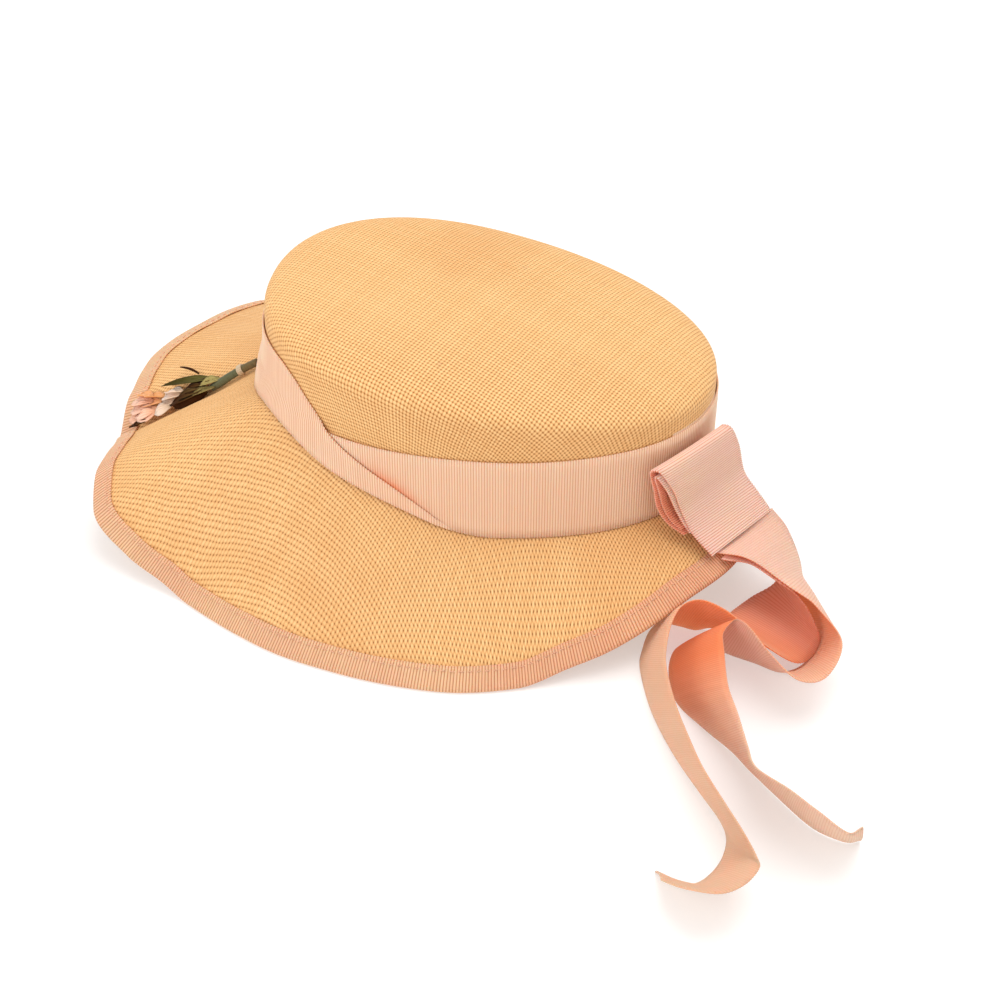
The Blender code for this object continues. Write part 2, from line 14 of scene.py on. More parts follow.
import bpy
import numpy as np
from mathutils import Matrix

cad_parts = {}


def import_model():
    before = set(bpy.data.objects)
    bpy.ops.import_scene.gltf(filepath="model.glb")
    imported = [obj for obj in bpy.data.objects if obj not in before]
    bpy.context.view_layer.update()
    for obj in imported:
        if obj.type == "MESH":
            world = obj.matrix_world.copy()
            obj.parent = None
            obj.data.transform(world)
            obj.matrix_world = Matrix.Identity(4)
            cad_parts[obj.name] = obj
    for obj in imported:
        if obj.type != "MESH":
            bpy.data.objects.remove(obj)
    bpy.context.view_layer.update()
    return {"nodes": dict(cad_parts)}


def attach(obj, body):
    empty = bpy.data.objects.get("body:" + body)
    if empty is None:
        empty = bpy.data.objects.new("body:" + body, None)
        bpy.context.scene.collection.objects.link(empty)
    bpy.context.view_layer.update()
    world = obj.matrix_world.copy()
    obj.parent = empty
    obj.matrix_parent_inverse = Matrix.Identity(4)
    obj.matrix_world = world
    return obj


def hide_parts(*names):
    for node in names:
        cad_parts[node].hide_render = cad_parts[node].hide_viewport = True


log = logging.getLogger("hat")

MM = 0.001
BODY = "root"
RIBBON_WIDTH = 38.0
BINDING_WIDTH = 25.0
WHOLE_TURN = 2 * math.pi
SUBSTEPS = 24

Array = np.ndarray
Socket = bpy.types.NodeSocket
Rows = tuple[tuple[float, ...], ...]
Colour = tuple[float, float, float]


class Slot(Enum):
    """The material slots of the hat."""

    STRAW = "straw"
    RIBBON = "ribbon"
    BINDING = "binding"
    STEM = "stem_green"
    THREAD = "thread"
    LEAF = "leaf_green"
    BROWN = "leaf_brown"
    WHITE = "petal_white"
    PINK = "petal_pink"


class Hold(Enum):
    """How a sheet is held."""

    STRETCHED = "stretched"
    FOLDED = "folded"
    LAID = "laid"


def column_of(rows: Rows, number: int) -> Array:
    """One column of a table."""
    return np.array([row[number] for row in rows], float)


def smooth_table(rows: Rows, places: Array, column: int, period: float = 0) -> Array:
    """Read one column of a table by smooth curves that never overshoot its rows.

    Args:
        rows: the table, its first column rising.
        places: where to read, in the first column's terms.
        column: the column to read.
        period: the first column's period, or 0.

    Returns:
        The column's value at each place.
    """
    xs, ys = column_of(rows, 0), column_of(rows, column)
    if period:
        xs = np.concatenate([xs - period, xs, xs + period])
        ys = np.concatenate([ys, ys, ys])
    steps = np.diff(xs)
    rises = np.diff(ys) / steps
    slopes = np.zeros(len(xs))
    same = rises[:-1] * rises[1:] > 0
    inner = 2 * rises[:-1] * rises[1:] / np.where(same, rises[:-1] + rises[1:], 1.0)
    slopes[1:-1] = np.where(same, inner, 0.0)
    places = np.asarray(places, float)
    cell = np.clip(np.searchsorted(xs, places, side="right") - 1, 0, len(xs) - 2)
    part = np.clip((places - xs[cell]) / steps[cell], 0.0, 1.0)
    start = ys[cell] * (1 + 2 * part) * (1 - part) ** 2
    end = ys[cell + 1] * part**2 * (3 - 2 * part)
    bend = slopes[cell] * part * (1 - part) ** 2 - slopes[cell + 1] * part**2 * (1 - part)
    return start + end + bend * steps[cell]


def smooth_rows(rows: Rows, substeps: int) -> Array:
    """Put a smooth curve through the rows, every column alike.

    Args:
        rows: the points that the curve goes through.
        substeps: points for each row.

    Returns:
        The curve's points, one to a row.
    """
    known = np.array(rows, float)
    padded = np.vstack([2 * known[0] - known[1], known, 2 * known[-1] - known[-2]])
    u = (np.arange(substeps) / substeps)[:, None]
    found = []
    for first, start, end, last in zip(padded, padded[1:], padded[2:], padded[3:]):
        curve = 2 * start + (end - first) * u + (2 * first - 5 * start + 4 * end - last) * u**2
        found.append(0.5 * (curve + (3 * start - first - 3 * end + last) * u**3))
    found.append(known[-1:])
    return np.vstack(found)


def bearing_of(points: Array) -> Array:
    """Bearings of places round the crown's axis, in radians."""
    return np.arctan2(points[..., 0], -points[..., 1])


def unit(vectors: Array) -> Array:
    """Give vectors the length 1."""
    return vectors / np.maximum(np.linalg.norm(vectors, axis=-1, keepdims=True), 1e-9)


def run_of(points: Array) -> Array:
    """Distance along a line of points, from its first."""
    return np.append(0.0, np.cumsum(np.linalg.norm(np.diff(points, axis=0), axis=-1)))


def evenly(points: Array, along: Array, count: int) -> Array:
    """Take rows of a grid again at even steps.

    Args:
        points: the rows, of any shape after the first axis.
        along: distance of each row along the strip.
        count: rows wanted.

    Returns:
        The rows at even steps of that distance.
    """
    flat = points.reshape(len(points), -1)
    at = np.linspace(0, along[-1], count)
    found = np.stack([np.interp(at, along, column) for column in flat.T], axis=-1)
    return found.reshape(count, *points.shape[1:])


@dataclass
class Shell:
    """A mesh in the making: points, faces, and values that the finishes read at each point."""

    points: Array
    faces: list[tuple[int, ...]]
    cloth: Array
    wrap: float = 0.0
    marks: dict[str, Array] = field(default_factory=dict)

    def join(self, other: "Shell") -> "Shell":
        """Add another mesh beside this one.

        Args:
            other: the mesh to add, with the same marks.

        Returns:
            Both as one.
        """
        first = len(self.points)
        moved = [tuple(i + first for i in face) for face in other.faces]
        marks = {k: np.concatenate([v, other.marks[k]]) for k, v in self.marks.items()}
        points = np.vstack([self.points, other.points])
        cloth = np.vstack([self.cloth, other.cloth])
        return Shell(points, self.faces + moved, cloth, self.wrap, marks)

    def area(self) -> float:
        """Work out one layer of the cloth.

        Returns:
            Half the surface of the closed mesh, in square metres.
        """
        fans = [(f[0], f[at], f[at + 1]) for f in self.faces for at in range(1, len(f) - 1)]
        corners = self.points[np.array(fans)]
        square = np.cross(corners[:, 1] - corners[:, 0], corners[:, 2] - corners[:, 0])
        return np.linalg.norm(square, axis=-1).sum() / 4 * MM * MM


def slopes(mid: Array, closed: bool) -> tuple[Array, Array, Array]:
    """Directions of a grid of points.

    Args:
        mid: rows by columns of points.
        closed: whether the last row meets the first.

    Returns:
        Unit vectors along the rows' run, across it, and square to the surface.
    """
    if closed:
        along = np.roll(mid, -1, axis=0) - np.roll(mid, 1, axis=0)
    else:
        along = np.gradient(mid, axis=0)
    along = unit(along)
    normal = unit(np.cross(along, np.gradient(mid, axis=1)))
    return along, unit(np.cross(normal, along)), normal


def shell_of(
    mid: Array,
    half: Array,
    cloth: Array,
    closed: bool = False,
    wrap: float = 0.0,
    capped: bool = False,
) -> Shell:
    """Give a grid of points thickness, as a closed mesh.

    Args:
        mid: the middle surface, rows by columns of points.
        half: half the thickness at each point.
        cloth: two cloth coordinates at each point.
        closed: whether the last row meets the first.
        wrap: how far the first cloth coordinate jumps there.
        capped: whether the last column closes to a point.

    Returns:
        The mesh.
    """
    rows, columns = mid.shape[:2]
    _, _, normal = slopes(mid, closed)
    front, back = mid + normal * half[..., None], mid - normal * half[..., None]
    points = np.concatenate([front.reshape(-1, 3), back.reshape(-1, 3)])
    index = np.arange(rows * columns).reshape(rows, columns)
    other = index + rows * columns
    here, after = (index, np.roll(index, -1, axis=0)) if closed else (index[:-1], index[1:])
    below, later = (other, np.roll(other, -1, axis=0)) if closed else (other[:-1], other[1:])

    def quads(*corners: Array) -> Array:
        """Faces from their four corners' numbers."""
        return np.stack([corner.ravel() for corner in corners], axis=-1)

    found = [
        quads(here[:, :-1], after[:, :-1], after[:, 1:], here[:, 1:]),
        quads(below[:, :-1], below[:, 1:], later[:, 1:], later[:, :-1]),
        quads(here[:, 0], below[:, 0], later[:, 0], after[:, 0]),
    ]
    if not capped:
        found.append(quads(here[:, -1], after[:, -1], later[:, -1], below[:, -1]))
    if not closed:
        found.append(quads(index[0, :-1], index[0, 1:], other[0, 1:], other[0, :-1]))
        found.append(quads(index[-1, :-1], other[-1, :-1], other[-1, 1:], index[-1, 1:]))
    faces = [tuple(face) for face in np.concatenate(found).tolist()]
    layer = cloth.reshape(-1, 2)
    both = np.concatenate([layer, layer])
    if capped:
        for ring, side in ((here[:, -1], front), (below[:, -1], back)):
            tip = len(points)
            points = np.vstack([points, side[:, -1].mean(axis=0)])
            both = np.vstack([both, cloth[:, -1].mean(axis=0)])
            turned = list(zip(ring.tolist(), np.roll(ring, -1).tolist()))
            for one, two in turned:
                faces.append((one, two, tip) if side is front else (two, one, tip))
    return Shell(points, faces, both, wrap)


class Recipe:
    """A finish in the making: its node tree, built one step at a time."""

    def __init__(self, name: str) -> None:
        """Start an empty finish.

        Args:
            name: the finish's name.
        """
        self.material = bpy.data.materials.new(name)
        self.material.use_nodes = True
        self.tree = self.material.node_tree
        self.shader = self.tree.nodes["Principled BSDF"]

    def node(self, kind: str, *values: object, **settings: object) -> bpy.types.Node:
        """Add a node.

        Args:
            kind: the node's type.
            values: what its inputs get, from the first on.
            settings: its properties.

        Returns:
            The node.
        """
        made = self.tree.nodes.new(kind)
        for name, value in settings.items():
            setattr(made, name, value)
        for place, value in enumerate(values):
            self.feed(made.inputs[place], value)
        return made

    def feed(self, target: Socket, value: object) -> None:
        """Link a socket to another, or set it.

        Args:
            target: the input.
            value: an output, a number or a colour.
        """
        if isinstance(value, Socket):
            self.tree.links.new(value, target)
        elif isinstance(value, tuple) and len(value) == 3 and target.type == "RGBA":
            target.default_value = (*value, 1.0)
        else:
            target.default_value = value

    def math(self, kind: str, first: object, second: object = 0.0) -> Socket:
        """Work out a number from one or two others."""
        return self.node("ShaderNodeMath", first, second, operation=kind).outputs[0]

    def plus(self, first: object, second: object) -> Socket:
        """Add two numbers."""
        return self.math("ADD", first, second)

    def less(self, first: object, second: object) -> Socket:
        """Take the second number from the first."""
        return self.math("SUBTRACT", first, second)

    def times(self, first: object, second: object) -> Socket:
        """Multiply two numbers."""
        return self.math("MULTIPLY", first, second)

    def wave(self, value: object, length: float) -> Socket:
        """A wave from -1 to 1 that repeats after this length, at its top where the value is 0."""
        return self.math("COSINE", self.times(value, WHOLE_TURN / length))

    def spread(
        self, value: object, low: float, high: float, start: float = 0.0, end: float = 1.0
    ) -> Socket:
        """Stretch the range from low to high smoothly onto the one from start to end."""
        ends = (value, low, high, start, end)
        return self.node("ShaderNodeMapRange", *ends, interpolation_type="SMOOTHSTEP").outputs[0]

    def mix(self, share: object, first: object, second: object, how: str = "MIX") -> Socket:
        """Blend two colours.

        Args:
            share: share of the second.
            first: a colour or an output.
            second: another.
            how: the kind of blend.

        Returns:
            The blend.
        """
        made = self.node("ShaderNodeMix", data_type="RGBA", blend_type=how)
        self.feed(made.inputs[0], share)
        self.feed(made.inputs[6], first)
        self.feed(made.inputs[7], second)
        return made.outputs[2]

    def split(self, place: Socket) -> tuple[Socket, ...]:
        """The three numbers of a place."""
        return tuple(self.node("ShaderNodeSeparateXYZ", place).outputs)

    def joined(self, x: object, y: object, z: object = 0.0) -> Socket:
        """A place made of three numbers."""
        return self.node("ShaderNodeCombineXYZ", x, y, z).outputs[0]

    def cloth(self) -> tuple[Socket, Socket]:
        """The two cloth coordinates."""
        return self.split(self.node("ShaderNodeUVMap", uv_map="cloth").outputs[0])[:2]

    def in_space(self) -> Socket:
        """The place in the frame, in metres."""
        return self.node("ShaderNodeTexCoord").outputs["Object"]

    def mottle(self, scale: float, detail: float = 3.0, at: object = None) -> Socket:
        """A soft irregular pattern.

        Args:
            scale: how fine it is.
            detail: how much finer pattern rides on it.
            at: the place that it reads, or None for places in space.

        Returns:
            The pattern, about 0.5 on average.
        """
        made = self.node("ShaderNodeTexNoise", self.in_space() if at is None else at)
        made.inputs["Scale"].default_value = scale
        made.inputs["Detail"].default_value = detail
        return made.outputs[0]

    def chance(self, number: object) -> Socket:
        """A random number that stays the same for the same input.

        Args:
            number: the input.

        Returns:
            The random number, 0 to 1.
        """
        made = self.node("ShaderNodeTexWhiteNoise", noise_dimensions="1D")
        self.feed(made.inputs["W"], number)
        return made.outputs[0]

    def mark(self, name: str) -> Socket:
        """A value that the mesh carries at each point."""
        return self.node("ShaderNodeAttribute", attribute_name=name).outputs["Fac"]

    def finish(
        self,
        colour: object,
        roughness: object,
        height: object = None,
        depth: float = 0.0,
        shine: float = 0.3,
        sheen: float = 0.0,
        glow: float = 0.0,
        lit: object = None,
    ) -> bpy.types.Material:
        """Connect the shader.

        Args:
            colour: the colour.
            roughness: how matt it is.
            height: relief, 0 to 1, or None.
            depth: the relief's depth in metres.
            shine: strength of its reflections.
            sheen: strength of its soft edge glow.
            glow: how much light spreads inside the cloth.
            lit: strength of a painted warm glow, an emission that stands in for light coming
                through it, or None.

        Returns:
            The material.
        """
        values = {
            "Base Color": colour,
            "Roughness": roughness,
            "Specular IOR Level": shine,
            "Sheen Weight": sheen,
            "Sheen Roughness": 0.4,
            "Subsurface Weight": glow,
            "Subsurface Radius": (1.0, 0.32, 0.16),
            "Subsurface Scale": 0.0014,
        }
        # Painted glow: a warm emission stands in for light coming through the cloth
        if lit is not None:
            values |= {"Emission Color": (1.0, 0.37, 0.13), "Emission Strength": lit}
        if height is not None:
            bump = self.node("ShaderNodeBump")
            for name, value in {"Strength": 1.0, "Distance": depth, "Height": height}.items():
                self.feed(bump.inputs[name], value)
            values["Normal"] = bump.outputs[0]
        for name, value in values.items():
            self.feed(self.shader.inputs[name], value)
        return self.material


@dataclass(frozen=True)
class StrawCloth:
    """Open plain-woven straw: strands over and under, with small gaps where they cross. The gaps
    and the troughs between strands are painted dark, as shade.
    """

    name: str = "woven_straw"
    light: Colour = (0.90, 0.56, 0.255)
    deep: Colour = (0.77, 0.40, 0.15)
    gap_shade: Colour = (0.36, 0.13, 0.03)
    trough_shade: Colour = (0.70, 0.53, 0.37)
    aged: Colour = (0.74, 0.37, 0.14)
    stain: Colour = (0.66, 0.40, 0.20)
    gap_edge: tuple[float, float] = (0.20, 0.58)
    uneven: float = 0.65
    wave_power: float = 0.6
    relief: float = 0.00045

    def build(self) -> bpy.types.Material:
        """Make the finish.

        Returns:
            The material.
        """
        r = Recipe(self.name)
        a, b = r.cloth()
        wobble = r.times(r.less(r.mottle(130.0, 2.0), 0.5), self.uneven)
        a, b = r.plus(a, wobble), r.less(b, wobble)
        wave_a, wave_b = (r.math("SINE", r.times(count, math.pi)) for count in (a, b))
        size_a, size_b = r.math("ABSOLUTE", wave_a), r.math("ABSOLUTE", wave_b)
        lift = r.times(0.5, r.times(wave_b, r.math("SIGN", wave_a)))
        sink = r.times(-0.5, r.times(wave_a, r.math("SIGN", wave_b)))
        top_a = r.plus(r.math("POWER", size_a, self.wave_power), lift)
        top_b = r.plus(r.math("POWER", size_b, self.wave_power), sink)
        over = r.math("GREATER_THAN", top_a, top_b)
        top = r.times(r.math("MAXIMUM", top_a, top_b), 0.6)
        cover = r.spread(r.math("MAXIMUM", size_a, size_b), *self.gap_edge)
        tone_a = r.chance(r.math("FLOOR", a))
        tone_b = r.chance(r.plus(r.math("FLOOR", b), 517.0))
        tone = r.mix(over, r.joined(tone_b, tone_b, tone_b), r.joined(tone_a, tone_a, tone_a))
        strand = r.times(r.plus(tone, r.mottle(0.9, 2.0, r.joined(a, b))), 0.5)
        colour = r.mix(r.spread(strand, 0.2, 0.9, 0.0, 0.45), self.light, self.deep)
        colour = r.mix(r.spread(r.mottle(11.0, 4.0), 0.46, 0.75, 0.0, 0.5), colour, self.aged)
        spots = r.spread(r.mottle(140.0, 2.0), 0.72, 0.80, 0.0, 0.5)
        colour = r.mix(spots, colour, self.stain)
        # Painted shade: the weave's low places, where one strand dips under another, are darkened
        crest = r.math("MAXIMUM", r.spread(top, 0.42, 0.86), r.less(1.0, self.trough_shade_share(r)))
        colour = r.mix(crest, r.mix(1.0, colour, self.trough_shade, "MULTIPLY"), colour)
        rough = r.spread(strand, 0.0, 1.0, 0.58, 0.78)
        height = r.times(top, cover)
        # The gaps between strands are painted dark, as the shade seen through them
        return r.finish(r.mix(cover, self.gap_shade, colour), rough, height, self.relief, shine=0.25)

    def trough_shade_share(self, r: Recipe) -> Socket:
        """How much of the painted shade in the weave's troughs shows: less on the far side of the
        crown, where the straw is flattened.

        Args:
            r: the recipe.

        Returns:
            The share, up to 1.
        """
        x, y, z = r.split(r.in_space())
        along = r.plus(r.plus(r.times(x, 0.78), r.times(y, 0.18)), r.times(z, 0.6))
        return r.spread(along, 0.03, 0.08, 0.45, 1.0)


@dataclass(frozen=True)
class CordedRibbon:
    """Ribbon with fine cords across it, dusty and faded in places, with painted shade in its
    grooves and folds and a painted glow in its deepest shade.
    """

    name: str
    pitch: float = 1.1
    light: Colour = (0.88, 0.605, 0.425)
    groove_shade_and_tone: Colour = (0.80, 0.57, 0.48)
    faded: Colour = (0.88, 0.64, 0.46)
    rosy: Colour = (0.89, 0.60, 0.50)
    # Colour of the painted shade that the deep mark multiplies in
    deep: Colour = (0.86, 0.33, 0.18)
    dusty: Colour = (0.60, 0.42, 0.27)
    # Strength of the painted glow in the deepest shade, where light would come through the ribbon
    through: float = 0.17
    thread_pitch: float = 0.42
    relief: float = 0.00003

    def build(self) -> bpy.types.Material:
        """Make the finish.

        Returns:
            The material.
        """
        r = Recipe(self.name)
        run, side = r.cloth()
        cord = r.wave(run, self.pitch)
        tone = r.chance(r.math("ROUND", r.math("DIVIDE", run, self.pitch)))
        fade = r.spread(r.mottle(26.0, 3.0), 0.42, 0.72, 0.0, 0.7)
        rosy, deep = r.mark("rosy"), r.mark("deep")
        colour = r.mix(fade, r.mix(rosy, self.light, self.rosy), self.faded)
        # Painted shade in the grooves between the cords; the ribs mark sets how strong it is
        ribs = r.mix(r.mark("ribs"), (0.36, 0.36, 0.36), r.spread(cord, -1.0, 0.1, 1.0, 0.0))
        colour = r.mix(ribs, colour, self.groove_shade_and_tone, "MULTIPLY")
        # Each cord's own tone differs at random
        colour = r.mix(r.times(tone, 0.12), colour, self.groove_shade_and_tone, "MULTIPLY")
        # Painted shade: the deep mark darkens the ribbon inside loops and folds
        colour = r.mix(deep, colour, self.deep, "MULTIPLY")
        patchy = r.spread(r.mottle(90.0, 4.0), 0.25, 0.7, 0.55, 1.0)
        colour = r.mix(r.times(r.mark("dust"), patchy), colour, self.dusty)
        fine = r.plus(r.wave(side, self.thread_pitch), r.mottle(2.2, 2.0, r.joined(run, side)))
        rough = r.spread(cord, -1.0, 1.0, 0.88, 0.68)
        # Painted glow: the ribbon emits warm light in its deepest painted shade, except on rosy
        # faces
        glow_share = r.times(r.less(1.0, rosy), self.through)
        lit = r.times(r.math("POWER", deep, 2.0), glow_share)
        looks = {"shine": 0.25, "sheen": 0.1, "glow": 0.3}
        return r.finish(colour, rough, fine, self.relief, lit=lit, **looks)


@dataclass(frozen=True)
class PlainThread:
    """Twisted thread, with painted shade in the grooves between its plies."""

    name: str
    light: Colour
    deep: Colour
    pitch: float = 0.9
    relief: float = 0.00006

    def build(self) -> bpy.types.Material:
        """Make the finish.

        Returns:
            The material.
        """
        r = Recipe(self.name)
        run, round_it = r.cloth()
        ply = r.wave(r.plus(r.math("DIVIDE", run, self.pitch), round_it), 1.0)
        tone = r.spread(r.mottle(300.0, 2.0), 0.3, 0.7, 0.0, 0.5)
        # Painted shade: the grooves between the plies are darker
        colour = r.mix(r.spread(ply, -1.0, 0.6, 1.0, 0.0), self.light, self.deep)
        return r.finish(r.mix(tone, colour, self.deep), 0.8, ply, self.relief, shine=0.25)


@dataclass(frozen=True)
class DyedCloth:
    """Dyed flower cloth: one colour at the heart, another at the tip, with veins and blotches."""

    name: str
    heart: Colour
    tip: Colour
    blotch: Colour
    tint: Colour
    veins: float = 7.0
    rough: float = 0.82
    shine: float = 0.25
    relief: float = 0.0001

    def build(self) -> bpy.types.Material:
        """Make the finish.

        Returns:
            The material.
        """
        r = Recipe(self.name)
        run, side = r.cloth()
        vein = r.wave(side, 2 / self.veins)
        grain = r.mottle(3.5, 4.0, r.joined(r.times(run, 1.5), side))
        near_tip = r.times(r.spread(run, 0.05, 0.9), r.mark("pale"))
        colour = r.mix(r.mark("tint"), r.mix(near_tip, self.heart, self.tip), self.tint)
        colour = r.mix(r.spread(grain, 0.45, 0.75, 0.0, 0.65), colour, self.blotch)
        colour = r.mix(r.spread(vein, 0.6, 1.0, 0.0, 0.3), colour, self.blotch)
        rough = r.spread(grain, 0.2, 0.8, self.rough - 0.1, self.rough + 0.1)
        height = r.plus(vein, grain)
        return r.finish(colour, rough, height, self.relief, shine=self.shine, sheen=self.shine / 3)


@dataclass(frozen=True)
class PaleFloor:
    """Matt pale table top."""

    name: str = "pale_floor"
    colour: Colour = (0.62, 0.62, 0.62)
    bright: float = 0.42
    light: Colour = (1.0, 0.99, 0.98)

    def build(self) -> bpy.types.Material:
        """Make the finish.

        Returns:
            The material.
        """
        r = Recipe(self.name)
        rough = r.spread(r.mottle(40.0, 2.0), 0.2, 0.8, 0.85, 0.95)
        made = r.finish(self.colour, rough, shine=0.1)
        r.feed(r.shader.inputs["Emission Color"], self.light)
        r.feed(r.shader.inputs["Emission Strength"], self.bright)
        return made


Finish = StrawCloth | CordedRibbon | PlainThread | DyedCloth | PaleFloor


@functools.cache
def finish_of(finish: Finish) -> bpy.types.Material:
    """The finish's material, made once."""
    return finish.build()


@dataclass(frozen=True)
class HatForm:
    """The shape that crown, brim and bands share: where each place of the straw lies."""

    axis: tuple[float, float] = (-50.9, -5.5)
    base: float = 42.0
    half_length: float = 93.4
    half_width: float = 66.8
    squareness: float = 2.15
    egg: float = -0.105
    wall: float = 54.0
    dome: float = 15.7
    dome_shape: float = 1.83
    dome_edge: float = 4.0
    tilt: float = -0.149
    taper: float = 0.008
    droop: float = 1.3
    front_droop: float = 1.1
    straw: float = 1.2
    # The crown's foot: angle, rise, outward spread
    foot_rows: Rows = (
        (-180, 0, 0), (-90, 0, 0), (-60, 8, 1), (-40, 17, 4), (-20, 22, 6), (0, 23.5, 6),
        (12, 26, 5.2), (21, 30.2, 4.4), (30, 32.6, 3.6), (38, 31.2, 2.6), (46, 27.6, 1.7),
        (54, 22.8, 1), (63, 18, 0.3), (71, 14.2, 0), (79, 10, 0), (85, 6, 0), (91, 1.6, 0),
        (98, 0, 0), (110, 0, 0),
    )
    # The brim's edge: bearing, radius, level above the table
    edge_rows: Rows = (
        (-180, 117, 24), (-165, 109, 18), (-150, 106, 10), (-135, 106, 4), (-120, 108, 1.65),
        (-105, 112, 1.65), (-90, 118, 1.65), (-72, 126, 1.65), (-60, 136, 4), (-48, 152, 14),
        (-36, 167.5, 28), (-26, 169, 31), (-20, 171, 31), (-15, 172.5, 30), (-10, 170.5, 30),
        (-5, 168.5, 29), (0, 168.5, 29), (7, 164, 28), (11, 166, 29), (15, 169, 28), (20, 170, 21),
        (27, 158.5, 11), (33, 146.5, 5.5), (38, 140, 1.65), (49, 131.5, 1.65), (58, 126.5, 1.65),
        (71, 120, 1.65), (84, 116.5, 1.65), (95, 115, 1.65), (108, 112.5, 2.2), (118, 111.5, 8),
        (127, 113.5, 14), (136, 115.5, 21), (147, 116, 26), (160, 118, 27),
    )
    # The front crease: x of its middle, y, depth, width
    valley_rows: Rows = ((-3, -104, 3, 6), (0, -118, 6, 6.5), (0, -132, 9, 7), (3, -168, 14, 7))
    # Soft dents of the worn straw: bearing, radius, depth, size along the bearing, size across it
    dent_rows: Rows = ((48, 104, 0.9, 13, 16), (96, 96, 0.8, 12, 14), (72, 100, -0.5, 14, 12))
    # How far in front of the axis the crease starts, and over what length it deepens
    valley_start: float = 88.0
    valley_run: float = 16.0
    # The worn tip is a little uneven: its height, then a length and a shift across and along
    uneven: tuple[float, ...] = (0.35, 19.0, 1.1, 26.0, 0.4)
    front_steps: int = 481

    def foot(self, angle: Array) -> tuple[Array, Array]:
        """Rise and outward spread of the crown's foot at these angles."""
        degrees = (np.degrees(angle) + 180) % 360 - 180
        return tuple(smooth_table(self.foot_rows, degrees, column, 360) for column in (1, 2))

    def plan(self, angle: Array) -> Array:
        """Outline of the crown seen from above.

        Args:
            angle: angles round it.

        Returns:
            x and y at each angle.
        """
        power = 2 / self.squareness
        along = -np.sign(np.cos(angle)) * np.abs(np.cos(angle)) ** power
        across = np.sign(np.sin(angle)) * np.abs(np.sin(angle)) ** power
        width = self.half_width * (1 + self.egg * along)
        return np.stack([width * across, self.half_length * along], axis=-1)

    def wall_top(self, angle: Array) -> Array:
        """Level of the wall's upper edge: the tip tilts, higher in front."""
        along = self.plan(angle)[..., 1]
        return self.wall * (1 + self.tilt * along / (self.wall + self.dome))

    def side(self, angle: Array, share: Array | float) -> Array:
        """Middle of the straw on the crown's side.

        Args:
            angle: angles round the hat.
            share: share of the way from the side's foot to the tip.

        Returns:
            A point for each angle.
        """
        share = np.broadcast_to(share, np.shape(angle))
        rise, spread = self.foot(angle)
        plan = self.plan(angle) * (1 + self.taper * share)[..., None]
        plan = plan + unit(plan) * (spread * np.clip(1 - share, 0, 1) ** 1.6)[..., None]
        z = self.base + rise + (self.wall_top(angle) - rise) * share
        return np.concatenate([plan, z[..., None]], axis=-1)

    def share_at(self, angle: Array, level: Array | float) -> Array:
        """Share of the side's height at a level above the foot plane."""
        rise, _ = self.foot(angle)
        return (level - rise) / (self.wall_top(angle) - rise)

    def tip(self, angle: Array, share: float) -> Array:
        """Middle of the straw on the tip.

        Args:
            angle: angles round the hat.
            share: share of the way from the tip's middle to the side.

        Returns:
            A point for each angle.
        """
        plan = self.side(angle, 1.0)[..., :2] * share
        height = self.wall + self.dome * (1 - share**self.dome_shape) ** (1 / self.dome_edge)
        z = self.base + height + self.tilt * plan[..., 1] * height / (self.wall + self.dome)
        high, across, shift, along, slide = self.uneven
        soft = np.sin(plan[..., 0] / across + shift) * np.sin(plan[..., 1] / along + slide)
        z = z + high * soft * (1 - share**6)
        return np.concatenate([plan, z[..., None]], axis=-1)

    def valley(self, x: Array, y: Array) -> Array:
        """Depth of the front crease.

        Args:
            x: places across the brim.
            y: places along it.

        Returns:
            The depth at each place.
        """
        ys = -column_of(self.valley_rows, 1)
        centre, depth, width = (
            np.interp(-y, ys, column_of(self.valley_rows, column)) for column in (0, 2, 3)
        )
        fade = np.clip((-y - self.valley_start) / self.valley_run, 0, 1)
        return fade * depth * np.exp(-0.5 * ((x - centre) / width) ** 2)

    def dents(self, x: Array, y: Array) -> Array:
        """Depth of the soft dents in the brim.

        Args:
            x: places across the brim.
            y: places along it.

        Returns:
            The depth at each place.
        """
        total = np.zeros_like(x)
        for bearing, radius, depth, along, across in self.dent_rows:
            turn = math.radians(bearing)
            out = x * math.sin(turn) - y * math.cos(turn) - radius
            beside = x * math.cos(turn) + y * math.sin(turn)
            total = total + depth * np.exp(-((out / along) ** 2) - (beside / across) ** 2)
        return total

    def brim(self, angle: Array, share: Array | float) -> Array:
        """Middle of the straw on the brim.

        Args:
            angle: angles round the hat.
            share: share of the way from the crown to the edge.

        Returns:
            A point for each angle.
        """
        share = np.broadcast_to(share, np.shape(angle))
        foot = self.side(angle, 0.0)
        turn = bearing_of(foot)
        radius, level = (
            smooth_table(self.edge_rows, np.degrees(turn), column, 360) for column in (1, 2)
        )
        edge = np.stack([radius * np.sin(turn), -radius * np.cos(turn)], axis=-1)
        plan = foot[..., :2] + (edge - foot[..., :2]) * share[..., None]
        front = np.clip(np.cos(turn), 0, 1) ** 6
        droop = self.droop + (self.front_droop - self.droop) * front
        z = foot[..., 2] + (level - foot[..., 2]) * np.clip(share, 0, None) ** droop
        x, y = plan[..., 0], plan[..., 1]
        z = z - self.valley(x, y) - self.dents(x, y) * np.clip(share * (1 - share) * 4, 0, 1)
        return np.concatenate([plan, z[..., None]], axis=-1)

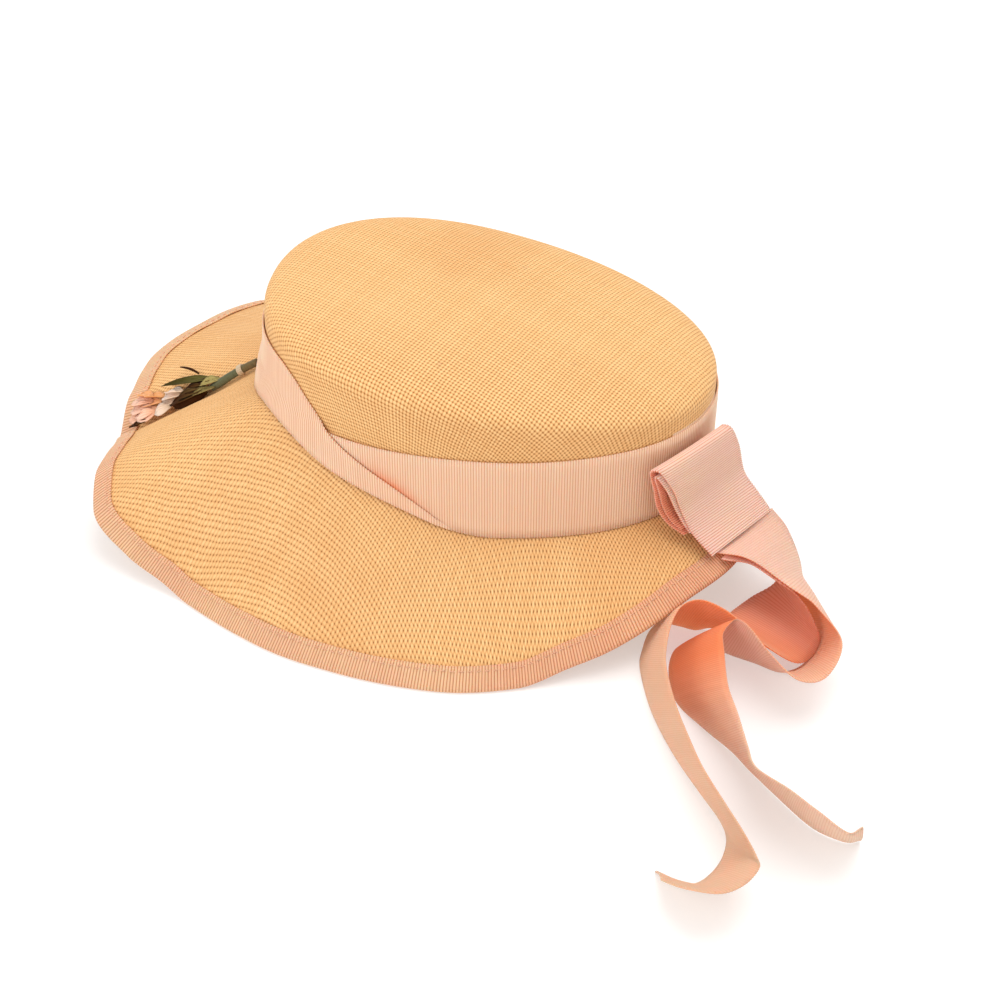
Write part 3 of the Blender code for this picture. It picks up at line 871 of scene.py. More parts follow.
    def brim_top(self, x: float, y: float) -> float:
        """Height of the brim's upper face near the front.

        Args:
            x: the place across the brim.
            y: the place along it.

        Returns:
            The height above the table.
        """
        front = np.radians(np.linspace(-60, 60, self.front_steps))
        bearing = bearing_of(np.array([x, y]))
        angle = np.array([np.interp(bearing, bearing_of(self.side(front, 0.0)), front)])
        start = np.linalg.norm(self.side(angle, 0.0)[0, :2])
        edge = smooth_table(self.edge_rows, np.array([math.degrees(bearing)]), 1, 360)[0]
        share = (math.hypot(x, y) - start) / (edge - start)
        return float(self.brim(angle, share)[0, 2]) + self.straw / 2

    def place(self, points: Array) -> Array:
        """Points round the crown's axis, in the frame's own place and in metres."""
        return (points + np.array([*self.axis, 0.0])) * MM


FORM = HatForm()
FRONT_CROWDING = 0.55
ANGLE_STEP = 0.005
SHARE_STEP = 0.01

def crowded_angles(count: int) -> Array:
    """Angles round the hat, closer together at the front where the shape changes most."""
    even = np.arange(count) * WHOLE_TURN / count
    return even - FRONT_CROWDING * np.sin(even)


def square_to(
    surface: Callable[[Array, Array], Array],
    angle: Array,
    share: Array,
) -> tuple[Array, Array]:
    """Directions of a surface of the hat.

    Args:
        surface: the surface, by angle and share.
        angle: angles of the places.
        share: their shares.

    Returns:
        Unit vectors out along the surface and square to it.
    """
    along = surface(angle + ANGLE_STEP, share) - surface(angle - ANGLE_STEP, share)
    out = surface(angle, share + SHARE_STEP) - surface(angle, share - SHARE_STEP)
    return unit(out), unit(np.cross(along, out))


def stand(name: str, data: bpy.types.ID) -> bpy.types.Object:
    """Put an object in the scene.

    Args:
        name: its name.
        data: its mesh, light or camera.

    Returns:
        The object.
    """
    made = bpy.data.objects.new(name, data)
    bpy.context.scene.collection.objects.link(made)
    return made


def make_piece(
    name: str, shell: Shell, finish: Finish, nodes: Sequence[str] = ()
) -> bpy.types.Object:
    """Make a piece of the hat.

    Args:
        name: the piece's name.
        shell: its mesh.
        finish: its finish.
        nodes: the solids that it stands for.

    Returns:
        The object.
    """
    mesh = bpy.data.meshes.new(name)
    mesh.from_pydata(FORM.place(shell.points).tolist(), [], shell.faces)
    corners = np.empty(len(mesh.loops), dtype=np.int32)
    mesh.loops.foreach_get("vertex_index", corners)
    cloth = shell.cloth[corners].copy()
    if shell.wrap:
        sizes = np.empty(len(mesh.polygons), dtype=np.int32)
        mesh.polygons.foreach_get("loop_total", sizes)
        starts = np.append(0, np.cumsum(sizes)[:-1])
        highest = np.repeat(np.maximum.reduceat(cloth[:, 0], starts), sizes)
        cloth[:, 0] += np.where(highest - cloth[:, 0] > shell.wrap / 2, shell.wrap, 0.0)
    layer = mesh.uv_layers.new(name="cloth")
    layer.data.foreach_set("uv", cloth.astype(np.float32).ravel())
    for mark, values in shell.marks.items():
        stored = mesh.attributes.new(mark, "FLOAT", "POINT")
        stored.data.foreach_set("value", values.astype(np.float32))
    mesh.shade_smooth()
    mesh.materials.append(finish_of(finish))
    made = stand(name, mesh)
    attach(made, BODY)
    if nodes:
        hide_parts(*nodes)
    log.info("%s: %d faces", name, len(mesh.polygons))
    return made


@dataclass(frozen=True)
class Strands:
    """Where the two families of straw strands run, as counts of strands."""

    tip_bearings: tuple[float, float] = (162.0, 72.0)
    tip_pitch: tuple[float, float] = (1.52, 1.60)
    # The brim's cloth is drawn on the slant: middle bearing, half the angle between the families
    brim_middle: float = 106.0
    brim_half: float = 50.0
    brim_swing: float = 21.0
    brim_widest: float = 118.0
    brim_pitch: float = 1.42
    line_steps: int = 720

    def on_crown(self, plan: Array) -> Array:
        """Count strands on the crown's cloth.

        Args:
            plan: places of the cloth laid flat.

        Returns:
            Two counts for each place.
        """
        found = []
        for bearing, pitch in zip(self.tip_bearings, self.tip_pitch):
            turn = math.radians(bearing)
            found.append((plan[..., 0] * math.sin(turn) - plan[..., 1] * math.cos(turn)) / pitch)
        return np.stack(found, axis=-1)

    def middle_line(self) -> tuple[Array, Array]:
        """Follow the line halfway across the brim.

        Returns:
            Rising bearings, a little past a whole turn, and the line's radius at each.
        """
        angle = np.linspace(-math.pi, math.pi, self.line_steps, endpoint=False)
        line = FORM.brim(angle, 0.5)
        bearing, radius = bearing_of(line), np.hypot(line[:, 0], line[:, 1])
        order = np.argsort(bearing)
        bearing, radius = bearing[order], radius[order]
        bearing = np.concatenate([bearing[-1:] - WHOLE_TURN, bearing, bearing[:1] + WHOLE_TURN])
        return bearing, np.concatenate([radius[-1:], radius, radius[:1]])

    def on_brim(self, points: Array) -> Array:
        """Count strands on the brim.

        Args:
            points: places on it.

        Returns:
            Two counts for each place.
        """
        radius = np.hypot(points[..., 0], points[..., 1])
        bearing = bearing_of(points)
        turn = np.radians(np.arange(-180, 181.0))
        middle = np.interp(turn, *self.middle_line())
        widest = math.radians(self.brim_widest)
        half = np.radians(self.brim_half + self.brim_swing * np.cos(2 * (turn - widest)))
        found = []
        for sign in (1, -1):
            lean = math.radians(self.brim_middle) + sign * half - turn
            out, round_it = np.cos(lean) / self.brim_pitch, np.sin(lean) / self.brim_pitch
            slope = middle * round_it + np.gradient(middle, turn) * out
            count = np.append(0.0, np.cumsum((slope[1:] + slope[:-1]) / 2 * np.diff(turn)))
            count -= count[-1] * (turn + math.pi) / WHOLE_TURN
            past = radius - np.interp(bearing, turn, middle)
            found.append(np.interp(bearing, turn, count) + past * np.interp(bearing, turn, out))
        return np.stack(found, axis=-1)


@dataclass
class Crown:
    """The crown: one sheet of straw cloth blocked to an oval with a domed tip."""

    stations: int = 240
    side_rings: int = 16
    start: float = 1.9
    # Rings of the tip by their share of its rise, then by their share of the way to the side
    dome_rises: tuple[float, float, int] = (0.1, 0.86, 15)
    high_rises: tuple[float, ...] = (0.9, 0.93, 0.955, 0.975, 0.99)
    inner_shares: tuple[float, ...] = (0.13, 0.09, 0.05, 0.02)
    flat: tuple[float, float] = (0.245, 0.300)
    flat_area: float = 0.0515
    strands: Strands = Strands()

    def mesh(self) -> Shell:
        """Build the straw, from the foot of the side to the middle of the tip.

        Returns:
            The mesh.
        """
        angle = np.arange(self.stations) * WHOLE_TURN / self.stations
        start = self.start / (FORM.wall_top(angle) - FORM.foot(angle)[0])
        rings = [
            FORM.side(angle, start + (1 - start) * share)
            for share in np.linspace(0.0, 1.0, self.side_rings)
        ]
        rises = np.concatenate([np.linspace(*self.dome_rises), self.high_rises])
        shares = (1 - rises**FORM.dome_edge) ** (1 / FORM.dome_shape)
        rings += [FORM.tip(angle, share) for share in (*shares, *self.inner_shares)]
        mid = np.stack(rings, axis=1)
        # The cloth laid flat: each place as far from the middle as it is along the straw
        steps = np.linalg.norm(np.diff(mid, axis=1), axis=-1)[:, ::-1]
        reach = np.linalg.norm(mid[:, -1, :2], axis=-1)[:, None]
        reach = np.concatenate([reach, reach + np.cumsum(steps, axis=1)], axis=1)[:, ::-1]
        cloth = self.strands.on_crown(unit(mid[..., :2]) * reach[..., None])
        half = np.full(mid.shape[:2], FORM.straw / 2)
        return shell_of(mid, half, cloth, closed=True, capped=True)

    def dress(self) -> None:
        """Make the crown."""
        made = make_piece("crown_straw", self.mesh(), StrawCloth(), ["crown"])


@dataclass
class Brim:
    """The brim: a second sheet of straw cloth, drooping at the sides and creased in front."""

    stations: int = 420
    rings: int = 30
    lip: float = 2.4
    flat: tuple[float, float] = (0.250, 0.310)
    flat_area: float = 0.046
    strands: Strands = Strands()

    def mesh(self) -> Shell:
        """Build the straw, from just inside the crown to the edge.

        Returns:
            The mesh.
        """
        angle = crowded_angles(self.stations)
        rings = [FORM.brim(angle, share) for share in np.linspace(0, 1, self.rings)]
        inner = rings[0].copy()
        inner[:, :2] -= unit(inner[:, :2]) * self.lip
        mid = np.stack([inner, *rings], axis=1)
        half = np.full(mid.shape[:2], FORM.straw / 2)
        return shell_of(mid, half, self.strands.on_brim(mid), closed=True)

    def dress(self) -> None:
        """Make the brim."""
        made = make_piece("brim_straw", self.mesh(), StrawCloth(), ["brim"])


@dataclass(frozen=True)
class Cording:
    """How a corded ribbon is built: its thickness, its cords and its scalloped selvedges."""

    pitch: float = 1.1
    thickness: float = 0.72
    rib: float = 0.09
    scallop: float = 0.13
    edge: float = 0.72
    steps: int = 4

    def rows_for(self, length: float, closed: bool) -> int:
        """Rows of points for a strip, a whole number of cords long."""
        cords = max(round(length / self.pitch), 4)
        return cords * self.steps + (0 if closed else 1)

    def strip(self, mid: Array, closed: bool = False) -> Shell:
        """Build a corded strip.

        Args:
            mid: its middle surface at even steps, rows along it and columns across it.
            closed: whether its ends meet.

        Returns:
            The mesh, with empty marks for its tones and painted shade, and a full mark for the
            painted shade in the grooves between its cords.
        """
        rows, columns = mid.shape[:2]
        wave = np.cos(np.arange(rows) * WHOLE_TURN / self.steps)[:, None]
        _, across, _ = slopes(mid, closed)
        mid = mid.copy()
        mid[:, 0] -= across[:, 0] * wave * self.scallop
        mid[:, -1] += across[:, -1] * wave * self.scallop
        inside = np.clip(np.minimum(np.arange(columns), np.arange(columns)[::-1]), 0, 1)
        strength = (0.5 + 0.5 * inside)[None, :]
        thin = (self.edge + (1 - self.edge) * inside)[None, :]
        half = self.thickness / 2 * thin + self.rib * wave * strength
        run = np.arange(rows) * self.pitch / self.steps
        steps = np.linalg.norm(np.diff(mid, axis=1, prepend=mid[:, :1]), axis=-1)
        width = np.cumsum(steps, axis=1)
        cloth = np.stack([np.broadcast_to(run[:, None], width.shape), width], axis=-1)
        wrap = rows * self.pitch / self.steps if closed else 0.0
        shell = shell_of(mid, half, cloth, closed=closed, wrap=wrap)
        zero = np.zeros(len(shell.points))
        shell.marks = {"deep": zero, "dust": zero.copy(), "rosy": zero.copy(), "ribs": zero + 1}
        return shell

    def lay(self, surface: Array) -> tuple[Shell, Array, float]:
        """Build an open corded strip from a surface whose rows lie at uneven steps.

        Args:
            surface: its middle surface, rows along it and columns across it.

        Returns:
            The mesh, how far along it each point of its front lies, and its length.
        """
        columns = surface.shape[1]
        run = run_of(surface[:, columns // 2])
        count = self.rows_for(run[-1], False)
        place = np.repeat(np.linspace(0, run[-1], count), columns)
        return self.strip(evenly(surface, run, count)), place, run[-1]


RIBBON = CordedRibbon("corded_ribbon")


def ribbon_piece(
    name: str, node: str, shell: Shell
) -> None:
    """Make a piece of the hat's ribbon.

    Args:
        name: the piece's name.
        node: the solid that it stands for.
        shell: its mesh.
    """
    piece = make_piece(name, shell, RIBBON, [node])


@dataclass
class Bands:
    """The ribbon round the crown: first turn, second turn and cut end."""

    foot: float = 0.9
    top: float = 39.3
    columns: int = 10
    first_out: float = 1.25
    second_out: float = 2.3
    end_angles: tuple[float, float] = (150.0, 180.0)
    end_foot: float = 4.0
    end_top: float = 40.0
    ripple: float = 0.1
    hollow: float = 0.2
    # Above the first turn the second one comes in to the straw: from how far up, over what height
    thin_from: float = 0.5
    thin_over: float = 5.0
    # The second turn's end dips under: how deep, from which angle and over how many degrees
    dip: tuple[float, float, float] = (1.9, 86.0, 6.0)
    # Deeper colour by the sloping edge: how deep, middle angle and spread in degrees, reach
    edge_shade: tuple[float, float, float, float] = (0.9, 76.0, 7.0, 3.0)
    fine_steps: int = 1441
    # Upper edge of the second turn: angle round the plan, level
    top_rows: Rows = (
        (-150, 39.3), (-90, 39.6), (-60, 46), (-40, 54), (-20, 59), (0, 61), (15, 62), (28, 62.3),
        (36, 61.5), (43, 58), (51, 49), (59, 38), (67, 30), (75, 22.7), (80, 17.2), (84, 12.2),
        (88, 6.6), (92, 3),
    )
    cording: Cording = Cording()

    def surface(self, angle: Array, foot: Array | float, top: Array | float, out: float) -> Array:
        """Points of a band on the crown's side.

        Args:
            angle: angles along the band.
            foot: level of its lower edge.
            top: level of its upper edge.
            out: how far its middle stands out from the straw's middle.

        Returns:
            Rows of points along it, columns from its foot up.
        """
        columns = []
        for share in np.linspace(0, 1, self.columns):
            level = foot + (top - foot) * share
            place = FORM.share_at(angle, level)
            _, square = square_to(FORM.side, angle, place)
            wave = self.ripple * np.sin(9 * angle + 4 * share) + self.hollow * (share - 0.5) ** 2
            past = np.clip((level - self.top - self.thin_from) / self.thin_over, 0, 1)
            stand_out = out - (out - self.first_out) * past * past * (3 - 2 * past)
            if out > self.first_out:
                dip, start, turn = self.dip
                stand_out = stand_out - dip * np.clip((np.degrees(angle) - start) / turn, 0, 1)
            columns.append(FORM.side(angle, place) + square * (stand_out + wave)[:, None])
        return np.stack(columns, axis=1)

    def along(self, start: float, end: float, closed: bool) -> Array:
        """Angles at even steps of the crown's girth.

        Args:
            start: first angle in degrees.
            end: last angle.
            closed: whether the two meet.

        Returns:
            The angles, in radians.
        """
        angle = np.radians(np.linspace(start, end, self.fine_steps))
        run = run_of(FORM.side(angle, 0.4))
        rows = self.cording.rows_for(run[-1], closed)
        at = np.arange(rows) * run[-1] / (rows if closed else rows - 1)
        return np.interp(at, run, angle)

    def dress(self) -> None:
        """Make the three pieces."""
        whole = self.along(-180, 180, True)
        foot = FORM.foot(whole)[0] + self.foot
        first = self.cording.strip(self.surface(whole, foot, self.top, self.first_out), True)
        first.marks["deep"][: len(first.points) // 2] = self.shadow(whole, foot).ravel()
        front = self.along(self.top_rows[0][0], self.top_rows[-1][0], False)
        foot = FORM.foot(front)[0] + self.foot
        top = np.maximum(smooth_table(self.top_rows, np.degrees(front), 1), foot + 2)
        second = self.cording.strip(self.surface(front, foot, top, self.second_out))
        end = self.along(*self.end_angles, False)
        last = self.cording.strip(self.surface(end, self.end_foot, self.end_top, self.second_out))
        # The last column is the share of the flat cloth that shows, or 0 for a whole rectangle
        for name, node, below, shell, angle, shown in (
            ("ribbon_band", "crown_band", "crown_straw", first, whole, 0.97),
            ("ribbon_second_turn", "band_overlap", "ribbon_band", second, front, 1.0),
            ("ribbon_end", "band_end", "ribbon_band", last, end, 0.0),
        ):
            length = len(angle) / self.cording.steps * self.cording.pitch
            whole_area = RIBBON_WIDTH * MM * length * MM
            area = min(shell.area() / shown, whole_area) if shown else 0.0
            ribbon_piece(name, node, shell)

    def shadow(self, angle: Array, foot: Array) -> Array:
        """Deeper colour on the first turn along the second turn's sloping edge.

        Args:
            angle: angles along the band.
            foot: level of its lower edge.

        Returns:
            How deep, rows along the band and columns from its foot up.
        """
        deep, middle, spread, reach = self.edge_shade
        level = foot[:, None] + (self.top - foot)[:, None] * np.linspace(0, 1, self.columns)
        degrees = np.degrees(angle)
        past = level - smooth_table(self.top_rows, degrees, 1)[:, None]
        near = np.exp(-((degrees - middle) / spread) ** 2)[:, None]
        return deep * near * np.exp(-np.clip(past, 0, None) / reach)


@dataclass
class Bow:
    """The flat bow: two nested loops of ribbon behind its outer face."""

    columns: int = 13
    bulge: float = 0.9
    # Painted shade: how deep the colour is inside a loop, and at most on its outside
    inside: float = 0.8
    outside_shade: float = 0.5
    # Share of the bow's height, then the left and the right edge of its outer face there
    face_rows: Rows = (
        (0.0, 48.4, 104.0, 35, 12.9, 123.0, 35), (0.25, 46.8, 95.0, 43.5, 12.9, 116.6, 44),
        (0.5, 45.8, 90.0, 53, 12.4, 110.0, 54), (0.75, 47.2, 86.5, 64, 13.6, 107.8, 66),
        (1.0, 49.8, 81.5, 75, 16.8, 105.1, 78),
    )
    # Path of each loop: share of the bow's height, distance out from the face, slide to the left
    outer_rows: Rows = (
        (0.02, -0.4, 0), (0.15, 0.0, 0), (0.35, 0.0, 0), (0.60, 0.0, 0), (0.80, 0.0, 0),
        (0.94, -0.8, 0.2), (1.00, -2.8, 0.8), (0.95, -4.9, 2.0), (0.82, -6.2, 3.8),
        (0.62, -7.0, 5.6), (0.45, -6.2, 4.8), (0.32, -3.9, 2.6), (0.27, -3.2, 1.6),
    )
    inner_rows: Rows = (
        (0.27, -1.3, 0), (0.42, -1.5, 0.8), (0.62, -1.7, 1.5), (0.80, -2.0, 1.8),
        (0.90, -3.0, 2.2), (0.82, -4.6, 3.0), (0.62, -5.4, 4.0), (0.45, -4.6, 3.5),
        (0.33, -2.9, 1.8),
    )
    cording: Cording = Cording(thickness=0.85, rib=0.13, scallop=0.22, edge=1.25)

    def edges(self, share: Array) -> tuple[Array, Array]:
        """Left and right edge of the outer face at these shares of its height."""
        found = np.stack([smooth_table(self.face_rows, share, c) for c in range(1, 7)], axis=-1)
        return found[:, :3], found[:, 3:]

    def loop(self, rows: Rows) -> Array:
        """Middle surface of a loop.

        Args:
            rows: its path.

        Returns:
            Points, rows along its path and columns from left to right.
        """
        share, distance, slide = smooth_rows(rows, SUBSTEPS).T
        left, right = self.edges(share)
        above = np.mean(self.edges(np.minimum(share + 0.2, 1.0)), axis=0)
        below = np.mean(self.edges(np.maximum(share - 0.2, 0.0)), axis=0)
        across = unit(left - right)
        out = unit(np.cross(above - below, across))
        shift = out * distance[:, None] + across * slide[:, None]
        places = np.linspace(0, 1, self.columns)
        bulge = self.bulge * 4 * places * (1 - places)
        rise = np.clip(share, 0, 0.6)[:, None]
        columns = [
            left + (right - left) * at + shift + out * (b * rise) for at, b in zip(places, bulge)
        ]
        return np.stack(columns, axis=1)

    def dress(self) -> None:
        """Make both loops."""
        for name, rows, node in (
            ("bow_outer_loop", self.outer_rows, "bow_outer"),
            ("bow_inner_loop", self.inner_rows, "bow_inner"),
        ):
            shell, place, length = self.cording.lay(self.loop(rows))
            # Painted shade: deep inside the loop, and deepening along its outside
            inside = np.full(len(place), self.inside)
            outside_shade = np.clip((place / length - 0.5) * 2, 0, 1) * self.outside_shade
            shell.marks["deep"] = np.concatenate([inside, outside_shade])
            shell.marks["rosy"] = np.ones(len(shell.points))
            ribbon_piece(name, node, shell)


@dataclass
class Streamer:
    """A free end of ribbon that hangs from the bow and lies on edge on the table."""

    name: str
    node: str
    # Foot x, y and z, direction up the ribbon x, y and z, share of the width, added curl
    rows: Rows
    columns: int = 10
    width: float = 38.0
    foot: float = 0.4
    curl: float = 1.0
    # Distance along it, then how deep the painted shade, how dusty and how rosy each face is
    front_tones: Rows = ((0, 0.0, 0.0, 0.0), (300, 0.0, 0.0, 0.0))
    back_tones: Rows = ((0, 0.0, 0.0, 0.0), (300, 0.0, 0.0, 0.0))
    # How strong the painted shade in the grooves between the cords is
    ribs: float = 0.45
    table_darkening: float = 0.18
    darkening_height: float = 4.0
    cording: Cording = Cording(rib=0.045)

    def surface(self) -> Array:
        """Middle surface of the ribbon.

        Returns:
            Points, rows along it and columns from its foot up.
        """
        rows = smooth_rows(self.rows, SUBSTEPS)
        foot = rows[:, :3] + np.array([0, 0, self.foot])
        foot[:, 2] = np.maximum(foot[:, 2], self.foot)
        lean = unit(rows[:, 3:6]) * (self.width * np.minimum(rows[:, 6], 1.0))[:, None]
        ahead = unit(np.gradient(foot + lean / 2, axis=0))
        square = unit(np.cross(ahead, lean))
        curl = self.curl + rows[:, 7:8]
        columns = [
            foot + lean * p + square * curl * (4 * p * (1 - p) - 0.5)
            for p in np.linspace(0, 1, self.columns)
        ]
        return np.stack(columns, axis=1)

    def dress(self) -> None:
        """Make the streamer."""
        shell, place, length = self.cording.lay(self.surface())
        # Painted shade, dust and rosy tone along each face
        for column, mark in enumerate(("deep", "dust", "rosy"), 1):
            faces = [
                np.interp(place, column_of(rows, 0), column_of(rows, column))
                for rows in (self.front_tones, self.back_tones)
            ]
            shell.marks[mark] = np.concatenate(faces)
        shell.marks["ribs"][:] = self.ribs
        # Darker and greyer toward the table
        near_table = self.table_darkening * np.exp(-shell.points[:, 2] / self.darkening_height)
        shell.marks["dust"] = np.clip(shell.marks["dust"] + near_table, 0, 1)
        ribbon_piece(self.name, self.node, shell)


STREAMER_ONE: Rows = (
    (11, 122, 30.2, 35, -15, 1, 1, 0), (11, 129, 18, 34, -9, 12, 1, 0),
    (14.7, 127.8, 19.2, 37.4, 7.5, 6.4, 1, 0), (19.6, 129.2, 12.9, 35.5, 13.9, 8.1, 1, 0),
    (27.8, 128.1, 8.3, 31.2, 20.9, 5.7, 1, 0), (39.4, 120.1, 8.5, 22.1, 31, -0.5, 1, 0),
    (56, 113, 12, 12, 34, -7, 1, 0), (57, 111, 10, 21, 31, 1, 1, 0),
    (56, 107.5, 4, 25, 22, 17, 1, 0), (54, 104, 1, 22.5, 15.5, 26, 1, 0),
    (55, 99, 0, 19, 13, 30, 1, 0), (54, 93, 0, 19, 10, 32, 1, 0), (54, 86, 0, 22, 10, 30, 1, 0),
    (60, 81, 0, 24, 12, 27, 1, 0), (73, 80, 0, 24, 13, 26, 1, 0), (84, 81, 0, 25, 14, 25, 1, 0),
    (104, 88, 0, 25, 14, 25, 1, 0), (120, 96, 0, 26, 14, 25, 1, 0),
    (136, 106, 0, 26, 12, 25, 1, 0), (151, 117, 0, 27, 12, 24, 1, 0),
    (163, 126, 0, 27, 11, 24, 1, 0), (172, 130, 0, 28, 14, 22, 1, 0),
    (182, 130, 0, 25, 16, 24, 1, 0), (191, 127, 0, 25, 15, 24, 1, 0),
    (197, 122, 0, 26, 13, 25, 1, 0), (197, 115, 0, 27, 9, 25, 0.9, 0),
    (194, 107, 0, 29, 8, 24, 0.6, 0),
)
STREAMER_TWO: Rows = (
    (11, 123, 33.7, 33, -19, -1, 1, 0), (12, 131, 24, 34, -13, 10, 1, -1),
    (19, 139.5, 10, 32, -5.5, 20, 1, -4), (31.5, 136.5, 6, 31, 16.5, 22, 1, -6.5),
    (51, 149, 1, 27, 12, 23, 1, -1), (66, 146, 0, 30, 11, 21, 1, 0), (73, 138, 0, 29, 9, 23, 1, 0),
    (70, 127, 0, 25, 8, 28, 1, 0), (68, 119, 0, 19, 7, 32, 1, 0), (65, 109, 0, 17, 12, 32, 1, 0),
    (64, 99, 0, 16, 18, 29, 1, 0), (70, 93, 0, 16, 21, 27, 1, 0), (84, 93, 0, 13, 23, 27, 1, 0),
    (101, 99, 0, 16, 22, 27, 1, 0), (114, 112, 0, 20, 15, 29, 1, 0),
    (124, 124, 0, 25, 9, 27, 1, 0), (134, 134, 0, 26, 4, 27, 1, 0), (149, 149, 0, 23, 3, 30, 1, 0),
    (160, 162, 0, 22, 2, 31, 1, 0), (164, 174, 0, 24, 2, 29, 0.9, 0),
    (162, 180, 0, 22, 1, 31, 0.75, 0),
)


STREAMERS = (
    Streamer(
        "streamer_long",
        "streamer_one",
        STREAMER_ONE,
        front_tones=(
            (15, 0.75, 0, 1), (32, 0.7, 0, 1), (52, 0.65, 0, 1), (64, 0.8, 0, 0.3),
            (75, 0.6, 0.15, 0), (98, 0.46, 0.36, 0), (130, 0.38, 0.5, 0), (225, 0.38, 0.6, 0),
            (290, 0.34, 0.66, 0),
        ),
        back_tones=(
            (15, 0.25, 0, 1), (35, 0.35, 0, 1), (60, 0.9, 0, 0), (72, 1.0, 0, 0), (100, 1.0, 0, 0),
            (125, 0.4, 0.15, 0), (290, 0.15, 0.6, 0),
        ),
    ),
    Streamer(
        "streamer_twisted",
        "streamer_two",
        STREAMER_TWO,
        front_tones=(
            (20, 1.0, 0, 0), (48, 1.0, 0, 0), (64, 0.55, 0, 0), (85, 0.25, 0, 0), (118, 0.5, 0, 0),
            (132, 0.95, 0, 0), (152, 0.96, 0, 0), (171, 0.6, 0, 0), (190, 0.25, 0, 0.3),
            (210, 0.1, 0.22, 0.5), (280, 0.0, 0.45, 0.5),
        ),
        back_tones=(
            (0, 0.08, 0.2, 1), (30, 0.08, 0.3, 1), (60, 0.2, 0.1, 0.5), (95, 0.3, 0, 0.5),
            (110, 0.35, 0, 1), (140, 0.45, 0, 1), (170, 0.2, 0.15, 0.5), (280, 0.1, 0.5, 0.5),
        ),
    ),
)


